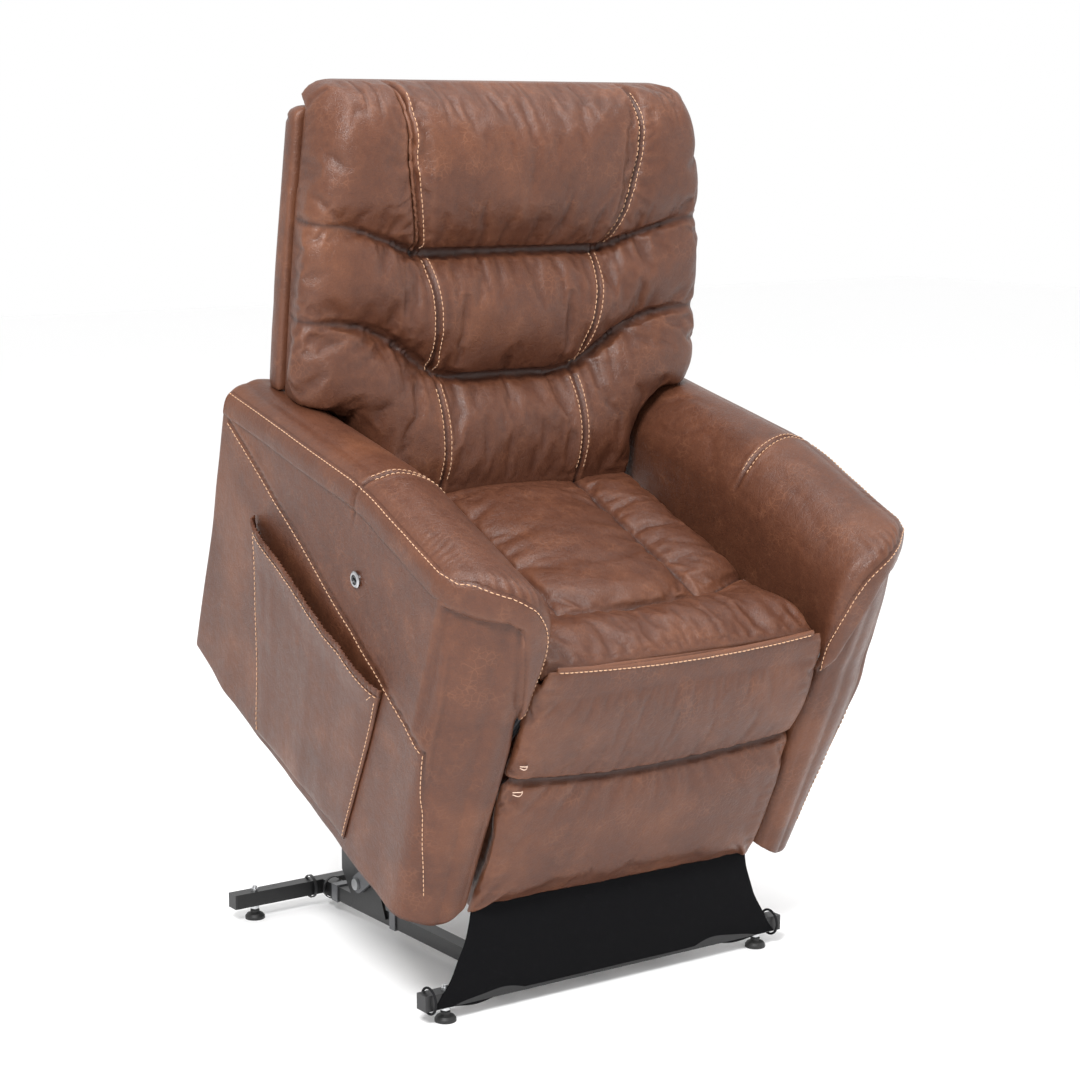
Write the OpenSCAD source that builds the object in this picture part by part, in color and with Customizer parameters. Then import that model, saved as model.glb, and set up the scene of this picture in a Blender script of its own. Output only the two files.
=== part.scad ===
// Power lift recliner chair, standing on its base with the seat raised and tipped forward.
// +Z is up, -Y is the side the sitter faces, X = 0 is the middle of the chair.
// Chair parts are drawn level, as when somebody sits in it, and seat_at_rest() tips them up.

/* [Lift] */
// Forward tip of the whole seat at the top of the lift, degrees
lift_tilt = 24.5; // [20:0.5:28]
// Swing of the lower lift links between seated and raised, degrees
link_swing = 40; // [36:1:44]
// Radius of the crank that the lift ram pushes
crank_r = 150; // [130:5:160]

/* [Base] */
// Side of the square steel tube
tube = 25.4; // [22:0.2:28]
// Wall of the square steel tube
tube_wall = 1.8; // [1:0.1:3]
// Underside of the base tubes above the floor
tube_z = 25; // [20:1:30]
// Half length of the two crossbars
bar_half = 350; // [340:1:352]
// Middle of each side rail from the middle of the chair
rail_x = 168; // [160:1:168]
// Levelling foot from the middle of the chair
foot_x = 310; // [280:1:320]
// Diameter of a levelling foot's pad
foot_d = 34; // [28:1:36]

/* [Seat] */
// Half width of the seat cushion
seat_half = 268; // [262:1:268]
// Top of the seat cushion above the floor when seated
seat_top = 508; // [490:1:512]
// Underside of the seat cushion
seat_under = 392; // [390:1:396]

/* [Arms] */
// Inner face of an arm from the middle of the chair
arm_in = 282; // [282:1:284]
// Outer face of an arm at its foot from the middle of the chair
arm_foot = 392; // [388:1:396]
// Height of the flat part of the arm top
arm_top = 650; // [630:1:655]
// Outward lean of the side panels, degrees
arm_lean = 4.6; // [3:0.1:5]

/* [Back] */
// Backward lean of the back when upright, degrees
back_lean = 16.5; // [14:0.5:18]
// Half width of the back across its wings
wing_half = 404; // [380:1:410]
// Half width of the rear shell of the back
shell_half = 358; // [330:1:362]

/* [Leg rest] */
// Half width of the leg rest pads
leg_half = 264; // [255:1:264]
// Thickness of the leg rest pads
leg_pad = 48; // [40:1:48]

/* [Trim] */
// Width of the side pocket's mouth
pocket_w = 440; // [380:5:450]
// Outer diameter of the round charging socket
socket_d = 26; // [22:1:30]

/* [Hidden] */

// The middle of the resting object's footprint lies this far in front of its first layout
mid_y = 170.7;
// Middle of the front and rear crossbars
front_y = mid_y - 362.3;
rear_y = mid_y + 254.7;
tube_mid = tube_z + tube / 2;
tube_top = tube_z + tube;
// Bottom front corner of the seat unit, in the level chair and in the raised and seated poses
corner = [-400, 45];
corner_up = [mid_y - 376, 168];
corner_down = [mid_y - 460, 45];

// Every pivot below is a [y, z] point.
chord = corner_up - corner_down;
// The seat unit turns about this one point between its two end poses
pole = (corner_up + corner_down) / 2 + [-chord[1], chord[0]] / (2 * tan(lift_tilt / 2));
low_pivot = [mid_y + 100, 80];
high_pivot = [mid_y + 140, 190];
function link_length(a) = norm(pole - a) * tan(lift_tilt / 2)
    / (sin(link_swing / 2) + tan(lift_tilt / 2) * cos(link_swing / 2));
function link_angle(a) = atan2(pole[1] - a[1], a[0] - pole[0]) + link_swing / 2;
function link_end(a) = a + link_length(a) * [-cos(link_angle(a)), sin(link_angle(a))];
// A raised point of the seat unit, back in the level chair
function to_level(p) = corner + [
    (p[0] - corner_up[0]) * cos(lift_tilt) + (p[1] - corner_up[1]) * sin(lift_tilt),
    (p[1] - corner_up[1]) * cos(lift_tilt) - (p[0] - corner_up[0]) * sin(lift_tilt)];
low_end = to_level(link_end(low_pivot));
high_end = to_level(link_end(high_pivot));
crank_end = low_pivot + crank_r * [sin(link_angle(low_pivot)), cos(link_angle(low_pivot))];
motor_pivot = [mid_y - 325, 62];
ram_line = crank_end - motor_pivot;
ram_length = norm(ram_line);
ram_rise = atan2(ram_line[1], ram_line[0]);

// The layers of the lift linkage, as distances from the middle of the chair
plate = 5;
riser_x = rail_x + tube / 2;
link_x = riser_x + 6.8;
link_t = 6;
frame_x = link_x + link_t + 2;
bolt_d = 12;
bolt_play = 0.4;
// Room round the two open pivots of the linkage, which takes up its change of centre distance
open_play = 5.6;
ram_play = 8;
motor_tube_end = 330;

// Pivots of the back and the leg rest, and the cranks their rams work on, in the level chair
back_pivot = [220, 300];
back_crank = 60;
back_travel = 35;
back_ram_z = 241.5;
back_motor_x = -90;
leg_pivot = [-390, 452];
leg_crank = 100;
leg_travel = 85;
leg_ram_z = 365;
leg_motor_x = 90;
leg_face = -410;
pin_d = 8;

// Arm side outline in the level chair: the top is flat in front and falls to the rear
arm_bend = -86;
arm_back = 345;
arm_rear_top = 566;

black = [0.07, 0.07, 0.075];
steel = [0.33, 0.34, 0.36];
zinc = [0.72, 0.73, 0.74];
leather = [0.45, 0.29, 0.22];
leather_dark = [0.36, 0.23, 0.17];
wood = [0.76, 0.62, 0.43];

$fn = 32;

function arc(cx, cy, r, from, to, n) =
    [for (i = [0 : n]) [cx + r * cos(from + (to - from) * i / n),
                        cy + r * sin(from + (to - from) * i / n)]];

// Drawing helpers

module both_sides() {
    children();
    mirror([1, 0, 0]) children();
}

// Extrudes a (y, z) outline along X
module across(x, t) {
    translate([x, 0, 0]) rotate([90, 0, 90]) linear_extrude(t) children();
}

module rod(x0, x1, p, d) {
    translate([x0, p[0], p[1]]) rotate([0, 90, 0]) cylinder(h = x1 - x0, d = d);
}

module seat_at_rest() {
    translate([0, corner_up[0], corner_up[1]]) rotate([lift_tilt, 0, 0])
        translate([0, -corner[0], -corner[1]]) children();
}

// The back's own frame: origin on its pivot, Z up along the back, -Y towards the sitter
module back_at_rest() {
    seat_at_rest() translate([0, back_pivot[0], back_pivot[1]]) rotate([-back_lean, 0, 0]) children();
}

module square_tube(length) {
    difference() {
        translate([-length / 2, -tube / 2, 0]) cube([length, tube, tube]);
        translate([-length / 2 - 1, -tube / 2 + tube_wall, tube_wall])
            cube([length + 2, tube - 2 * tube_wall, tube - 2 * tube_wall]);
    }
}

module bolt(x0, x1, p, d, head) {
    rod(x0, x1, p, d);
    rod(x1 - 5, x1, p, head);
}

// A bar from a to b with a round end at each
module bar_outline(a, b, w, boss_b) {
    run = b - a;
    translate(a) rotate(atan2(run[1], run[0])) translate([0, -w / 2]) square([norm(run), w]);
    translate(a) circle(d = w);
    translate(b) circle(d = boss_b);
}

module link_outline(a, b, w, bore_a, bore_b, boss_b) {
    difference() {
        bar_outline(a, b, w, boss_b);
        translate(a) circle(d = bore_a);
        translate(b) circle(d = bore_b);
    }
}

// Base

module crossbar(y) {
    color(black) difference() {
        translate([0, y, tube_z]) square_tube(2 * bar_half);
        for (side = [-1, 1]) translate([side * foot_x, y, tube_z - 1]) cylinder(h = tube + 2, d = 8.6);
    }
}

module front_crossbar() {
    crossbar(front_y);
}

module rear_crossbar() {
    crossbar(rear_y);
}

module side_rails() {
    length = rear_y - front_y - tube;
    color(black) both_sides() translate([rail_x, (front_y + rear_y) / 2, tube_z])
        rotate([0, 0, 90]) square_tube(length);
}

module tube_end_caps() {
    inner = tube - 2 * tube_wall - 0.4;
    color([0.16, 0.16, 0.17]) both_sides() for (y = [front_y, rear_y]) {
        translate([bar_half, y - tube / 2, tube_z]) cube([4, tube, tube]);
        translate([bar_half - 18, y - inner / 2, tube_mid - inner / 2]) cube([18, inner, inner]);
    }
}

module levelling_studs() {
    color(zinc) both_sides() for (y = [front_y, rear_y]) translate([foot_x, y, 0]) {
        translate([0, 0, 8]) cylinder(h = tube_top, d = 8);
        translate([0, 0, tube_z - 6.5]) cylinder(h = 6.5, d = 15);
        translate([0, 0, tube_top]) cylinder(h = 4, d = 13);
    }
}

module foot_pads() {
    color(black) both_sides() for (y = [front_y, rear_y]) translate([foot_x, y, 0]) rotate_extrude()
        polygon([[0, 0], [foot_d / 2, 0], [foot_d / 2, 5], [foot_d / 2 - 3, 9], [8, 12], [8, 16],
            [4.2, 16], [4.2, 7.8], [0, 7.8]]);
}

module rail_collars() {
    grip = 2.6;
    color(steel) both_sides() for (y = [-6, 188]) difference() {
        translate([rail_x - tube / 2 - grip, mid_y + y, tube_z - grip])
            cube([tube + 2 * grip, 18, tube + 2 * grip]);
        translate([rail_x - tube / 2, mid_y + y - 1, tube_z]) cube([tube, 20, tube]);
    }
}

module riser_brackets() {
    front = low_pivot[0];
    color(black) both_sides() across(riser_x, plate) difference() {
        polygon([[front - 80, tube_z + 11], [front + 21, tube_z + 11], [front + 65, tube_z + 65],
            [front + 65, high_pivot[1] + 18], [front + 22, high_pivot[1] + 18],
            [front - 55, low_pivot[1] + 12]]);
        translate(low_pivot) circle(d = bolt_d + 0.2);
        translate(high_pivot) circle(d = bolt_d + 0.2);
    }
}

module base_pivot_bolts() {
    color(zinc) both_sides() for (p = [low_pivot, high_pivot]) {
        bolt(riser_x - 6, link_x + link_t + 5.6, p, bolt_d, 20);
        rod(riser_x - 6, riser_x, p, 18);
    }
}

module lift_motor_clevis() {
    rear_face = front_y + tube / 2;
    color(black) both_sides() across(14.5, plate) difference() {
        polygon([[rear_face, tube_z], [motor_pivot[0] + 4, tube_z], [motor_pivot[0] + 14, motor_pivot[1]],
            [motor_pivot[0], motor_pivot[1] + 14], [rear_face, tube_top + 22]]);
        translate(motor_pivot) circle(d = 10.2);
    }
    color(zinc) rod(-24, 24, motor_pivot, 10);
}

skirt_top = 160;
skirt_y = front_y - tube / 2 - 4;
function hem(x) = 42 - 16 * pow(sin(180 * min(1, max(0, (abs(x) - 120) / 200))), 2);

module skirt() {
    color([0.09, 0.085, 0.085]) translate([0, skirt_y + 2.5, 0]) rotate([90, 0, 0]) linear_extrude(2.5)
        polygon(concat([for (x = [-338 : 26 : 338]) [x, hem(x)]],
            [[272, skirt_top], [-272, skirt_top]]));
}

module skirt_ties() {
    color(black) both_sides() translate([bar_half - 10, front_y, tube_mid]) rotate([0, 90, 0])
        rotate_extrude() translate([tube * 0.5 * sqrt(2) + 2.6, 0]) circle(d = 4);
}

module cable_ties() {
    loop = tube * 0.5 * sqrt(2) + 1.7;
    color(black) {
        translate([-rail_x, rear_y - tube / 2 - 16, tube_mid]) rotate([90, 0, 0])
            rotate_extrude() translate([loop, 0]) square([1.6, 5], center = true);
        translate([-rail_x - 30, rear_y, tube_mid]) rotate([0, 90, 0])
            rotate_extrude() translate([loop, 0]) square([1.6, 5], center = true);
    }
}

// Lift linkage

module lower_link_arms() {
    color(steel) both_sides() across(link_x, link_t)
        link_outline(low_pivot, link_end(low_pivot), 32, bolt_d + bolt_play, bolt_d + bolt_play, 32);
}

// A tube between the two lower links carries the pair of cranks that the ram pushes
module torque_tube() {
    reach = 80;
    along = [-cos(link_angle(low_pivot)), sin(link_angle(low_pivot))];
    at = low_pivot + reach * along;
    color(black) {
        rod(-link_x, link_x, at, 24);
        both_sides() across(24, plate) difference() {
            bar_outline(at, crank_end, 30, 34);
            translate(crank_end) circle(d = 12.2);
        }
    }
}

module crank_pin() {
    color(zinc) rod(-31, 31, crank_end, 12);
}

// The front end of this link is the linkage's open pivot, so its hole has room to spare
module upper_link_arms() {
    color(steel) both_sides() across(link_x, link_t)
        link_outline(high_pivot, link_end(high_pivot), 28, bolt_d + bolt_play,
            bolt_d + 2 * open_play, 38);
}

// Lift actuator, drawn along its own line from the front clevis

module along_ram() {
    translate([0, motor_pivot[0], motor_pivot[1]]) rotate([ram_rise, 0, 0]) children();
}

module lift_motor_tube() {
    color(black) along_ram() difference() {
        union() {
            rod(-13, 13, [0, 0], 24);
            translate([-10, 0, -10]) cube([20, 40, 20]);
            translate([-34, 34, -24]) cube([68, 48, 48]);
            translate([0, 80, 0]) rotate([-90, 0, 0]) cylinder(h = motor_tube_end - 80, d = 33);
        }
        rod(-40, 40, [0, 0], 10.2);
        translate([0, 100, 0]) rotate([-90, 0, 0]) cylinder(h = motor_tube_end, d = 20.8);
    }
}

module lift_motor_can() {
    color([0.2, 0.2, 0.21]) along_ram() translate([0, 36, 50]) rotate([-90, 0, 0])
        cylinder(h = 118, d = 50);
}

module lift_ram() {
    color(zinc) along_ram() difference() {
        union() {
            translate([0, 215, 0]) rotate([-90, 0, 0]) cylinder(h = ram_length - 215 - 18, d = 20);
            rod(-9, 9, [ram_length, 0], 46);
        }
        rod(-10, 10, [ram_length, 0], 12 + 2 * ram_play);
    }
}

// Seat unit: frame and mechanism

module lift_frame() {
    color(black) seat_at_rest() {
        both_sides() across(frame_x, plate) difference() {
            union() {
                polygon([[-330, 290], [-330, 268], [-235, 215], low_end + [-24, 4], low_end + [18, -8],
                    high_end + [22, -12], [55, 262], [160, 266], [160, 290]]);
                translate(low_end) circle(d = 44);
            }
            translate(low_end) circle(d = bolt_d + 0.2);
            translate(high_end) circle(d = bolt_d + 0.2);
        }
        rod(-frame_x, frame_x, [-250, 268], 24);
        rod(-frame_x, frame_x, [20, 275], 24);
    }
}

module frame_pivot_bolts() {
    color(zinc) seat_at_rest() both_sides() for (p = [low_end, high_end]) {
        bolt(link_x - 4, frame_x + plate + 5.4, p, bolt_d, 20);
        rod(link_x - 4, link_x - 0.4, p, p == low_end ? 18 : 32);
    }
}

module seat_frame() {
    rail_in = 229;
    rail_out = 281.5;
    color(wood) seat_at_rest() difference() {
        union() {
            both_sides() translate([rail_in, -330, 290]) cube([rail_out - rail_in, 490, 94]);
            translate([-rail_in, -330, 290]) cube([2 * rail_in, 30, 94]);
            translate([-rail_in, 110, 315]) cube([2 * rail_in, 30, 69]);
        }
        translate([leg_motor_x - 26, -331, 334]) cube([52, 32, 60]);
        both_sides() translate([223.6, 59, 285]) cube([5.4, 82, 56]);
    }
}

// Each spring is a flat zigzag of wire from the front rail to the rear rail
module seat_springs() {
    wire = 3;
    pitch = 48;
    swing = 13;
    turns = 9;
    color(steel) seat_at_rest() for (x = [-205, -150, -95, -40, 20, 150, 205]) for (i = [0 : turns - 1]) {
        translate([x - swing, -326 + i * pitch, 384.1]) cube([2 * swing, wire, wire]);
        translate([x + (i % 2 == 0 ? swing - wire : -swing), -326 + i * pitch, 384.1])
            cube([wire, pitch, wire]);
    }
}

module seat_cushion() {
    color(leather) seat_at_rest() across(-seat_half, 2 * seat_half)
        polygon(concat([[-334, seat_under], [-334, 477]], arc(-386, 490, 13, -90, -180, 4),
            arc(-383, seat_top - 18, 16, 180, 90, 5), [[30, seat_top - 2], [128, seat_top - 30],
            [128, seat_under]]));
}

// Arms, drawn on the +X side

module one_arm(side) {
    seat_at_rest() mirror([side < 0 ? 1 : 0, 0, 0]) children();
}

module lean_out() {
    translate([arm_foot, 0, corner[1]]) rotate([0, arm_lean, 0]) translate([0, 0, -corner[1]]) children();
}

arm_slope = atan2(arm_top - arm_rear_top, arm_back - arm_bend);
arm_under = arm_top - 90;
arm_rear_under = arm_under - (arm_top - arm_rear_top);
skin = 12;

module arm_outer(side) {
    color(leather) one_arm(side) difference() {
        lean_out() across(-skin, skin) polygon([[-360, corner[1]], [337, corner[1]], [arm_back, 80],
            [arm_back, arm_rear_under - 2], [arm_bend, arm_under - 2], [-360, arm_under - 2]]);
        if (side < 0) lean_out() rod(-skin - 1, 1, socket_at, 20.2);
    }
}

module arm_inner(side) {
    color(leather_dark) one_arm(side) across(arm_in, 14)
        polygon([[-360, 70], [330, 70], [330, arm_rear_under], [arm_bend, arm_under - 2],
            [-360, arm_under - 2]]);
}

module arm_front(side) {
    lean = tan(arm_lean);
    color(leather) one_arm(side) translate([0, -361, 0]) rotate([90, 0, 0]) linear_extrude(44)
        polygon([[arm_in + 2, corner[1]], [arm_foot, corner[1]],
            [arm_foot + (arm_under - 2 - corner[1]) * lean, arm_under - 2], [arm_in + 2, arm_under - 2]]);
}

module arm_rear(side) {
    lean = tan(arm_lean);
    x = arm_foot - skin - 1;
    color(leather_dark) one_arm(side) translate([0, 343, 0]) rotate([90, 0, 0]) linear_extrude(12)
        polygon([[arm_in + 15, 60], [x, 60], [x + (arm_rear_under - 60) * lean, arm_rear_under - 2],
            [arm_in + 15, arm_rear_under - 2]]);
}

module arm_pad_section() {
    outer = arm_foot + (arm_under - corner[1]) * tan(arm_lean) + 2;
    drop = arm_under - arm_top;
    polygon(concat([[arm_in, drop]], arc(arm_in + 44, -46, 44, 180, 96, 6),
        arc(outer - 34, -34, 34, 90, 0, 6), [[outer, drop]]));
}

module arm_pad(side) {
    run = (arm_back - arm_bend) / cos(arm_slope);
    color(leather) one_arm(side) {
        translate([0, arm_bend, arm_top]) rotate([90, 0, 0])
            linear_extrude(arm_bend - leg_face) arm_pad_section();
        translate([0, arm_bend, arm_top]) rotate([90 - arm_slope, 0, 0])
            translate([0, 0, -run]) linear_extrude(run) arm_pad_section();
    }
}

module arm_outer_left() {
    arm_outer(-1);
}

module arm_outer_right() {
    arm_outer(1);
}

module arm_inner_left() {
    arm_inner(-1);
}

module arm_inner_right() {
    arm_inner(1);
}

module arm_front_left() {
    arm_front(-1);
}

module arm_front_right() {
    arm_front(1);
}

module arm_rear_left() {
    arm_rear(-1);
}

module arm_rear_right() {
    arm_rear(1);
}

module arm_pad_left() {
    arm_pad(-1);
}

module arm_pad_right() {
    arm_pad(1);
}

// A flat bag sewn on the outside of the -X arm, open along its top
module side_pocket() {
    depth = 15;
    sheet = 3;
    front = -245;
    rear = front + pocket_w;
    color(leather) one_arm(-1) lean_out() difference() {
        across(0.2, depth) polygon([[front, 383], [front + 39, 67], [rear - 95, 55], [rear, 418]]);
        across(0.1, depth - sheet) polygon([[front + 6, 400], [front + 45, 73], [rear - 101, 62],
            [rear - 4, 440]]);
    }
}

// Round charging socket in the -X arm
socket_at = [-117, 499];

module at_socket() {
    one_arm(-1) lean_out() translate([0, socket_at[0], socket_at[1]]) rotate([0, 90, 0]) children();
}

module socket_bezel() {
    color(zinc) at_socket() rotate_extrude() polygon([[8, -11], [10, -11], [10, 0.1], [socket_d / 2, 0.1],
        [socket_d / 2, 1.2], [socket_d / 2 - 2, 2.6], [8, 2.6]]);
}

module socket_insert() {
    color([0.3, 0.31, 0.33]) at_socket() difference() {
        translate([0, 0, -11]) cylinder(h = 12, d = 15.8);
        translate([-2.2, -5.5, -6]) cube([4.4, 11, 8]);
    }
}

module back_hinge_brackets() {
    color(steel) seat_at_rest() both_sides() across(223.8, plate) difference() {
        union() {
            polygon([[60, 292], [60, 340], [150, 340], [back_pivot[0] + 4, 314], [back_pivot[0], 285]]);
            translate(back_pivot) circle(d = 30);
        }
        translate(back_pivot) circle(d = pin_d + 0.2);
    }
}

module legrest_brackets() {
    color(steel) seat_at_rest() both_sides() across(273.5, plate) difference() {
        union() {
            polygon([[-330.2, 306], [-330.2, 380], [-378, 461], [-403, 446], [-352, 306]]);
            translate(leg_pivot) circle(d = 26);
        }
        translate(leg_pivot) circle(d = pin_d + 0.2);
    }
}

module pivot_pins() {
    color(zinc) seat_at_rest() both_sides() {
        rod(215, 231, back_pivot, pin_d);
        rod(264.6, 279.5, leg_pivot, pin_d);
    }
}

// A small motor and tube whose ram slides forward out of it
module slide_motor(x, z, front, rear, bore) {
    color(black) seat_at_rest() difference() {
        union() {
            translate([x, front, z]) rotate([-90, 0, 0]) cylinder(h = rear - front - 40, d = bore + 14);
            translate([x - 20, rear - 46, z - 16]) cube([40, 46, 33]);
        }
        translate([x, front - 1, z]) rotate([-90, 0, 0]) cylinder(h = rear - front - 60, d = bore);
    }
}

// A ram that carries an open slot for a crank pin
module slotted_ram(x, z, tail, pin_at, slot, low, high, rod_d) {
    reach = slot / 2 + 6;
    color(zinc) seat_at_rest() {
        difference() {
            translate([x - 6, pin_at - reach, low - 7]) cube([12, 2 * reach, high - low + 7]);
            translate([x - 7, pin_at - slot / 2, low]) cube([14, slot, high - low + 1]);
        }
        side = tail > pin_at ? 1 : -1;
        start = pin_at + side * (reach - 1);
        translate([x, start, z]) rotate([-90 * side, 0, 0]) cylinder(h = abs(tail - start), d = rod_d);
    }
}

module leg_motor() {
    slide_motor(leg_motor_x, leg_ram_z, -268, 109.5, 14.8);
}

module leg_ram() {
    pin_at = leg_pivot[0] + leg_crank * sin(leg_travel / 2);
    slotted_ram(leg_motor_x, leg_ram_z, -110, pin_at, 15, 346.5, 383, 14);
}

module back_motor() {
    color(black) seat_at_rest() difference() {
        union() {
            translate([back_motor_x, -20, back_ram_z]) rotate([-90, 0, 0])
                cylinder(h = 170, d = 28);
            translate([back_motor_x - 20, -56, back_ram_z - 16]) cube([40, 40, 32]);
            translate([back_motor_x - 10, 10, back_ram_z + 10]) cube([20, 20, 11.4]);
        }
        translate([back_motor_x, 20, back_ram_z]) rotate([-90, 0, 0]) cylinder(h = 200, d = 14.8);
    }
}

module back_ram() {
    pin_at = back_pivot[0] + back_crank * sin(back_travel / 2);
    slotted_ram(back_motor_x, back_ram_z, 60, pin_at, 11, 234.5, 256, 14);
}

module control_box() {
    color(black) seat_at_rest() difference() {
        translate([-180, 52, 318]) cube([130, 57.5, 50]);
        translate([-130, 70, 317]) cube([24, 16, 15]);
    }
}

// Back

module back_frame() {
    color(wood) back_at_rest() {
        both_sides() translate([196, -28, 150]) cube([20.9, 22, 570]);
        for (z = [150, 430, 690]) translate([-196, -28, z]) cube([392, 22, 34]);
    }
}

module back_shell() {
    wall = 12;
    color(leather) back_at_rest() difference() {
        union() {
            translate([-270, -4, 150]) cube([540, 12, 164]);
            translate([-shell_half, -30, 312]) cube([2 * shell_half, 38, 433]);
        }
        translate([-shell_half + wall, -31, 324]) cube([2 * (shell_half - wall), 27, 409]);
        translate([-220, -31, 300]) cube([440, 27, 40]);
    }
}

module lower_back_pad() {
    color(leather) back_at_rest() {
        across(-seat_half, 2 * seat_half) polygon([[-32, 150], [-200, 152], [-222, 172], [-226, 200],
            [-205, 260], [-172, 330], [-150, 372], [-32, 376]]);
        both_sides() across(seat_half - 1, wing_half - seat_half + 1)
            polygon([[-32, 314], [-78, 314], [-90, 326], [-92, 376], [-32, 376]]);
    }
}

module lumbar_pad() {
    color(leather) back_at_rest() across(-wing_half, 2 * wing_half)
        polygon([[-32, 379], [-120, 379], [-140, 420], [-142, 500], [-115, 570], [-32, 570]]);
}

module head_pad() {
    color(leather) back_at_rest() across(-wing_half + 14, 2 * (wing_half - 14))
        polygon([[-32, 573], [-112, 573], [-134, 620], [-132, 700], [-104, 764], [-62, 788], [-36, 782],
            [-32, 748]]);
}

module back_hinge_arms() {
    pin = back_crank * [sin(back_travel / 2 + back_lean), -cos(back_travel / 2 + back_lean)];
    color(steel) back_at_rest() {
        both_sides() across(217, plate) difference() {
            union() {
                polygon([[-12, 0], [-28, 110], [-28, 250], [-6, 250], [-6, 110], [12, 0]]);
                circle(d = 30);
            }
            circle(d = pin_d + 0.2);
        }
        for (x = [-102, -82]) across(x, 4) {
            polygon([[-11, 0], [-28, 149.8], [-6, 149.8], [11, 0]]);
            circle(d = 26);
            polygon([[-8, -8], pin + [-6, -7], pin + [7, 6], [10, 6]]);
            translate(pin) circle(d = 22);
        }
        rod(-102, -78, pin, pin_d);
    }
}

// Leg rest

module legrest_board() {
    color(wood) seat_at_rest() difference() {
        translate([-266, -361.5, 60]) cube([532, 11.5, 392]);
        translate([leg_motor_x - 18, -363, 350]) cube([36, 14, 92]);
    }
}

module legrest_upper_pad() {
    color(leather) seat_at_rest() across(-leg_half, 2 * leg_half)
        polygon(concat([[leg_face + leg_pad, 302], [leg_face, 302]],
            arc(leg_pivot[0], leg_pivot[1], 20, 180, 90, 6), [[leg_face + leg_pad, 468]]));
}

module legrest_lower_pad() {
    color(leather) seat_at_rest() across(-leg_half, 2 * leg_half)
        polygon([[leg_face + leg_pad, corner[1] + 10], [leg_face + 12, corner[1]], [leg_face, corner[1] + 12],
            [leg_face, 298], [leg_face + leg_pad, 298]]);
}

module legrest_cheeks() {
    pin = leg_pivot + leg_crank * [sin(leg_travel / 2), -cos(leg_travel / 2)];
    color(steel) seat_at_rest() {
        both_sides() across(266, 4) difference() {
            union() {
                polygon([[-350, 320], [-362, 320], [-403, 448], [-378, 460]]);
                translate(leg_pivot) circle(d = 26);
            }
            translate(leg_pivot) circle(d = pin_d + 0.2);
        }
        for (x = [leg_motor_x - 12, leg_motor_x + 8]) across(x, 4) {
            polygon([[-349.8, 350], [-349.8, 384], pin + [0, 8], pin + [0, -8]]);
            translate(pin) circle(d = 16);
        }
        rod(leg_motor_x - 12, leg_motor_x + 12, pin, pin_d);
    }
}

front_crossbar();
rear_crossbar();
side_rails();
tube_end_caps();
levelling_studs();
foot_pads();
rail_collars();
riser_brackets();
base_pivot_bolts();
lift_motor_clevis();
skirt();
skirt_ties();
cable_ties();
lower_link_arms();
torque_tube();
crank_pin();
upper_link_arms();
lift_motor_tube();
lift_motor_can();
lift_ram();
lift_frame();
frame_pivot_bolts();
seat_frame();
seat_springs();
seat_cushion();
arm_outer_left();
arm_outer_right();
arm_inner_left();
arm_inner_right();
arm_front_left();
arm_front_right();
arm_rear_left();
arm_rear_right();
arm_pad_left();
arm_pad_right();
side_pocket();
socket_bezel();
socket_insert();
back_hinge_brackets();
legrest_brackets();
pivot_pins();
leg_motor();
back_motor();
control_box();
back_frame();
back_shell();
lower_back_pad();
lumbar_pad();
head_pad();
back_hinge_arms();
back_ram();
legrest_board();
legrest_upper_pad();
legrest_lower_pad();
legrest_cheeks();
leg_ram();
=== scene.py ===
"""The looks of a lift recliner chair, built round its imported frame. Metres, +Z up, front towards -Y."""

from itertools import product
from math import cos, pi, radians, sin, tan

import bmesh
import bpy
import numpy as np
from mathutils import Matrix, Vector
from mathutils.bvhtree import BVHTree


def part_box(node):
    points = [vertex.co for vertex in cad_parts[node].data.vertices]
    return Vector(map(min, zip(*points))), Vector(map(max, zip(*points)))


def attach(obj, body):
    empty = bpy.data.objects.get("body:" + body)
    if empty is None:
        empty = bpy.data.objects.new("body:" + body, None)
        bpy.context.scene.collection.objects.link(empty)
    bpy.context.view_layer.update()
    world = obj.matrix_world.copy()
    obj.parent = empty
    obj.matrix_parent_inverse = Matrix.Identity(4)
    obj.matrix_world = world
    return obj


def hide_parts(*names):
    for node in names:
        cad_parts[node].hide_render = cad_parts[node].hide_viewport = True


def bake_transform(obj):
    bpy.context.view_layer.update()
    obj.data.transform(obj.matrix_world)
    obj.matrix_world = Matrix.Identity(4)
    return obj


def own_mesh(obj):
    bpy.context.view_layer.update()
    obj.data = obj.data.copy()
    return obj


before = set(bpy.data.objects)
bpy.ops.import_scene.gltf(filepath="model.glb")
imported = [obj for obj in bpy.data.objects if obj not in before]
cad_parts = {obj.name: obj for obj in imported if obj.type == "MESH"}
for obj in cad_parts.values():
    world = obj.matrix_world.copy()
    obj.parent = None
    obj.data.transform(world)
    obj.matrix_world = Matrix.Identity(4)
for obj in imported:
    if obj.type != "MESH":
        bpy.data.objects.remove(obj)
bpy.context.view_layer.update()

# ---------------------------------------------------------------- places

# The chair is drawn level, then tipped forward as the lifted base holds it.
CHAIR_TILT = radians(24.5)
SEAT_CORNER = Vector((0, -0.400, 0.045))
SEAT_CORNER_AT_REST = Vector((0, -0.2053, 0.168))
CHAIR = (Matrix.Translation(SEAT_CORNER_AT_REST) @ Matrix.Rotation(CHAIR_TILT, 4, "X")
         @ Matrix.Translation(-SEAT_CORNER))
# The back turns about its own pivot and leans back from upright.
BACK_PIVOT = Vector((0, 0.220, 0.300))
BACK_LEAN = radians(16.5)
BACK = CHAIR @ Matrix.Translation(BACK_PIVOT) @ Matrix.Rotation(-BACK_LEAN, 4, "X")
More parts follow.
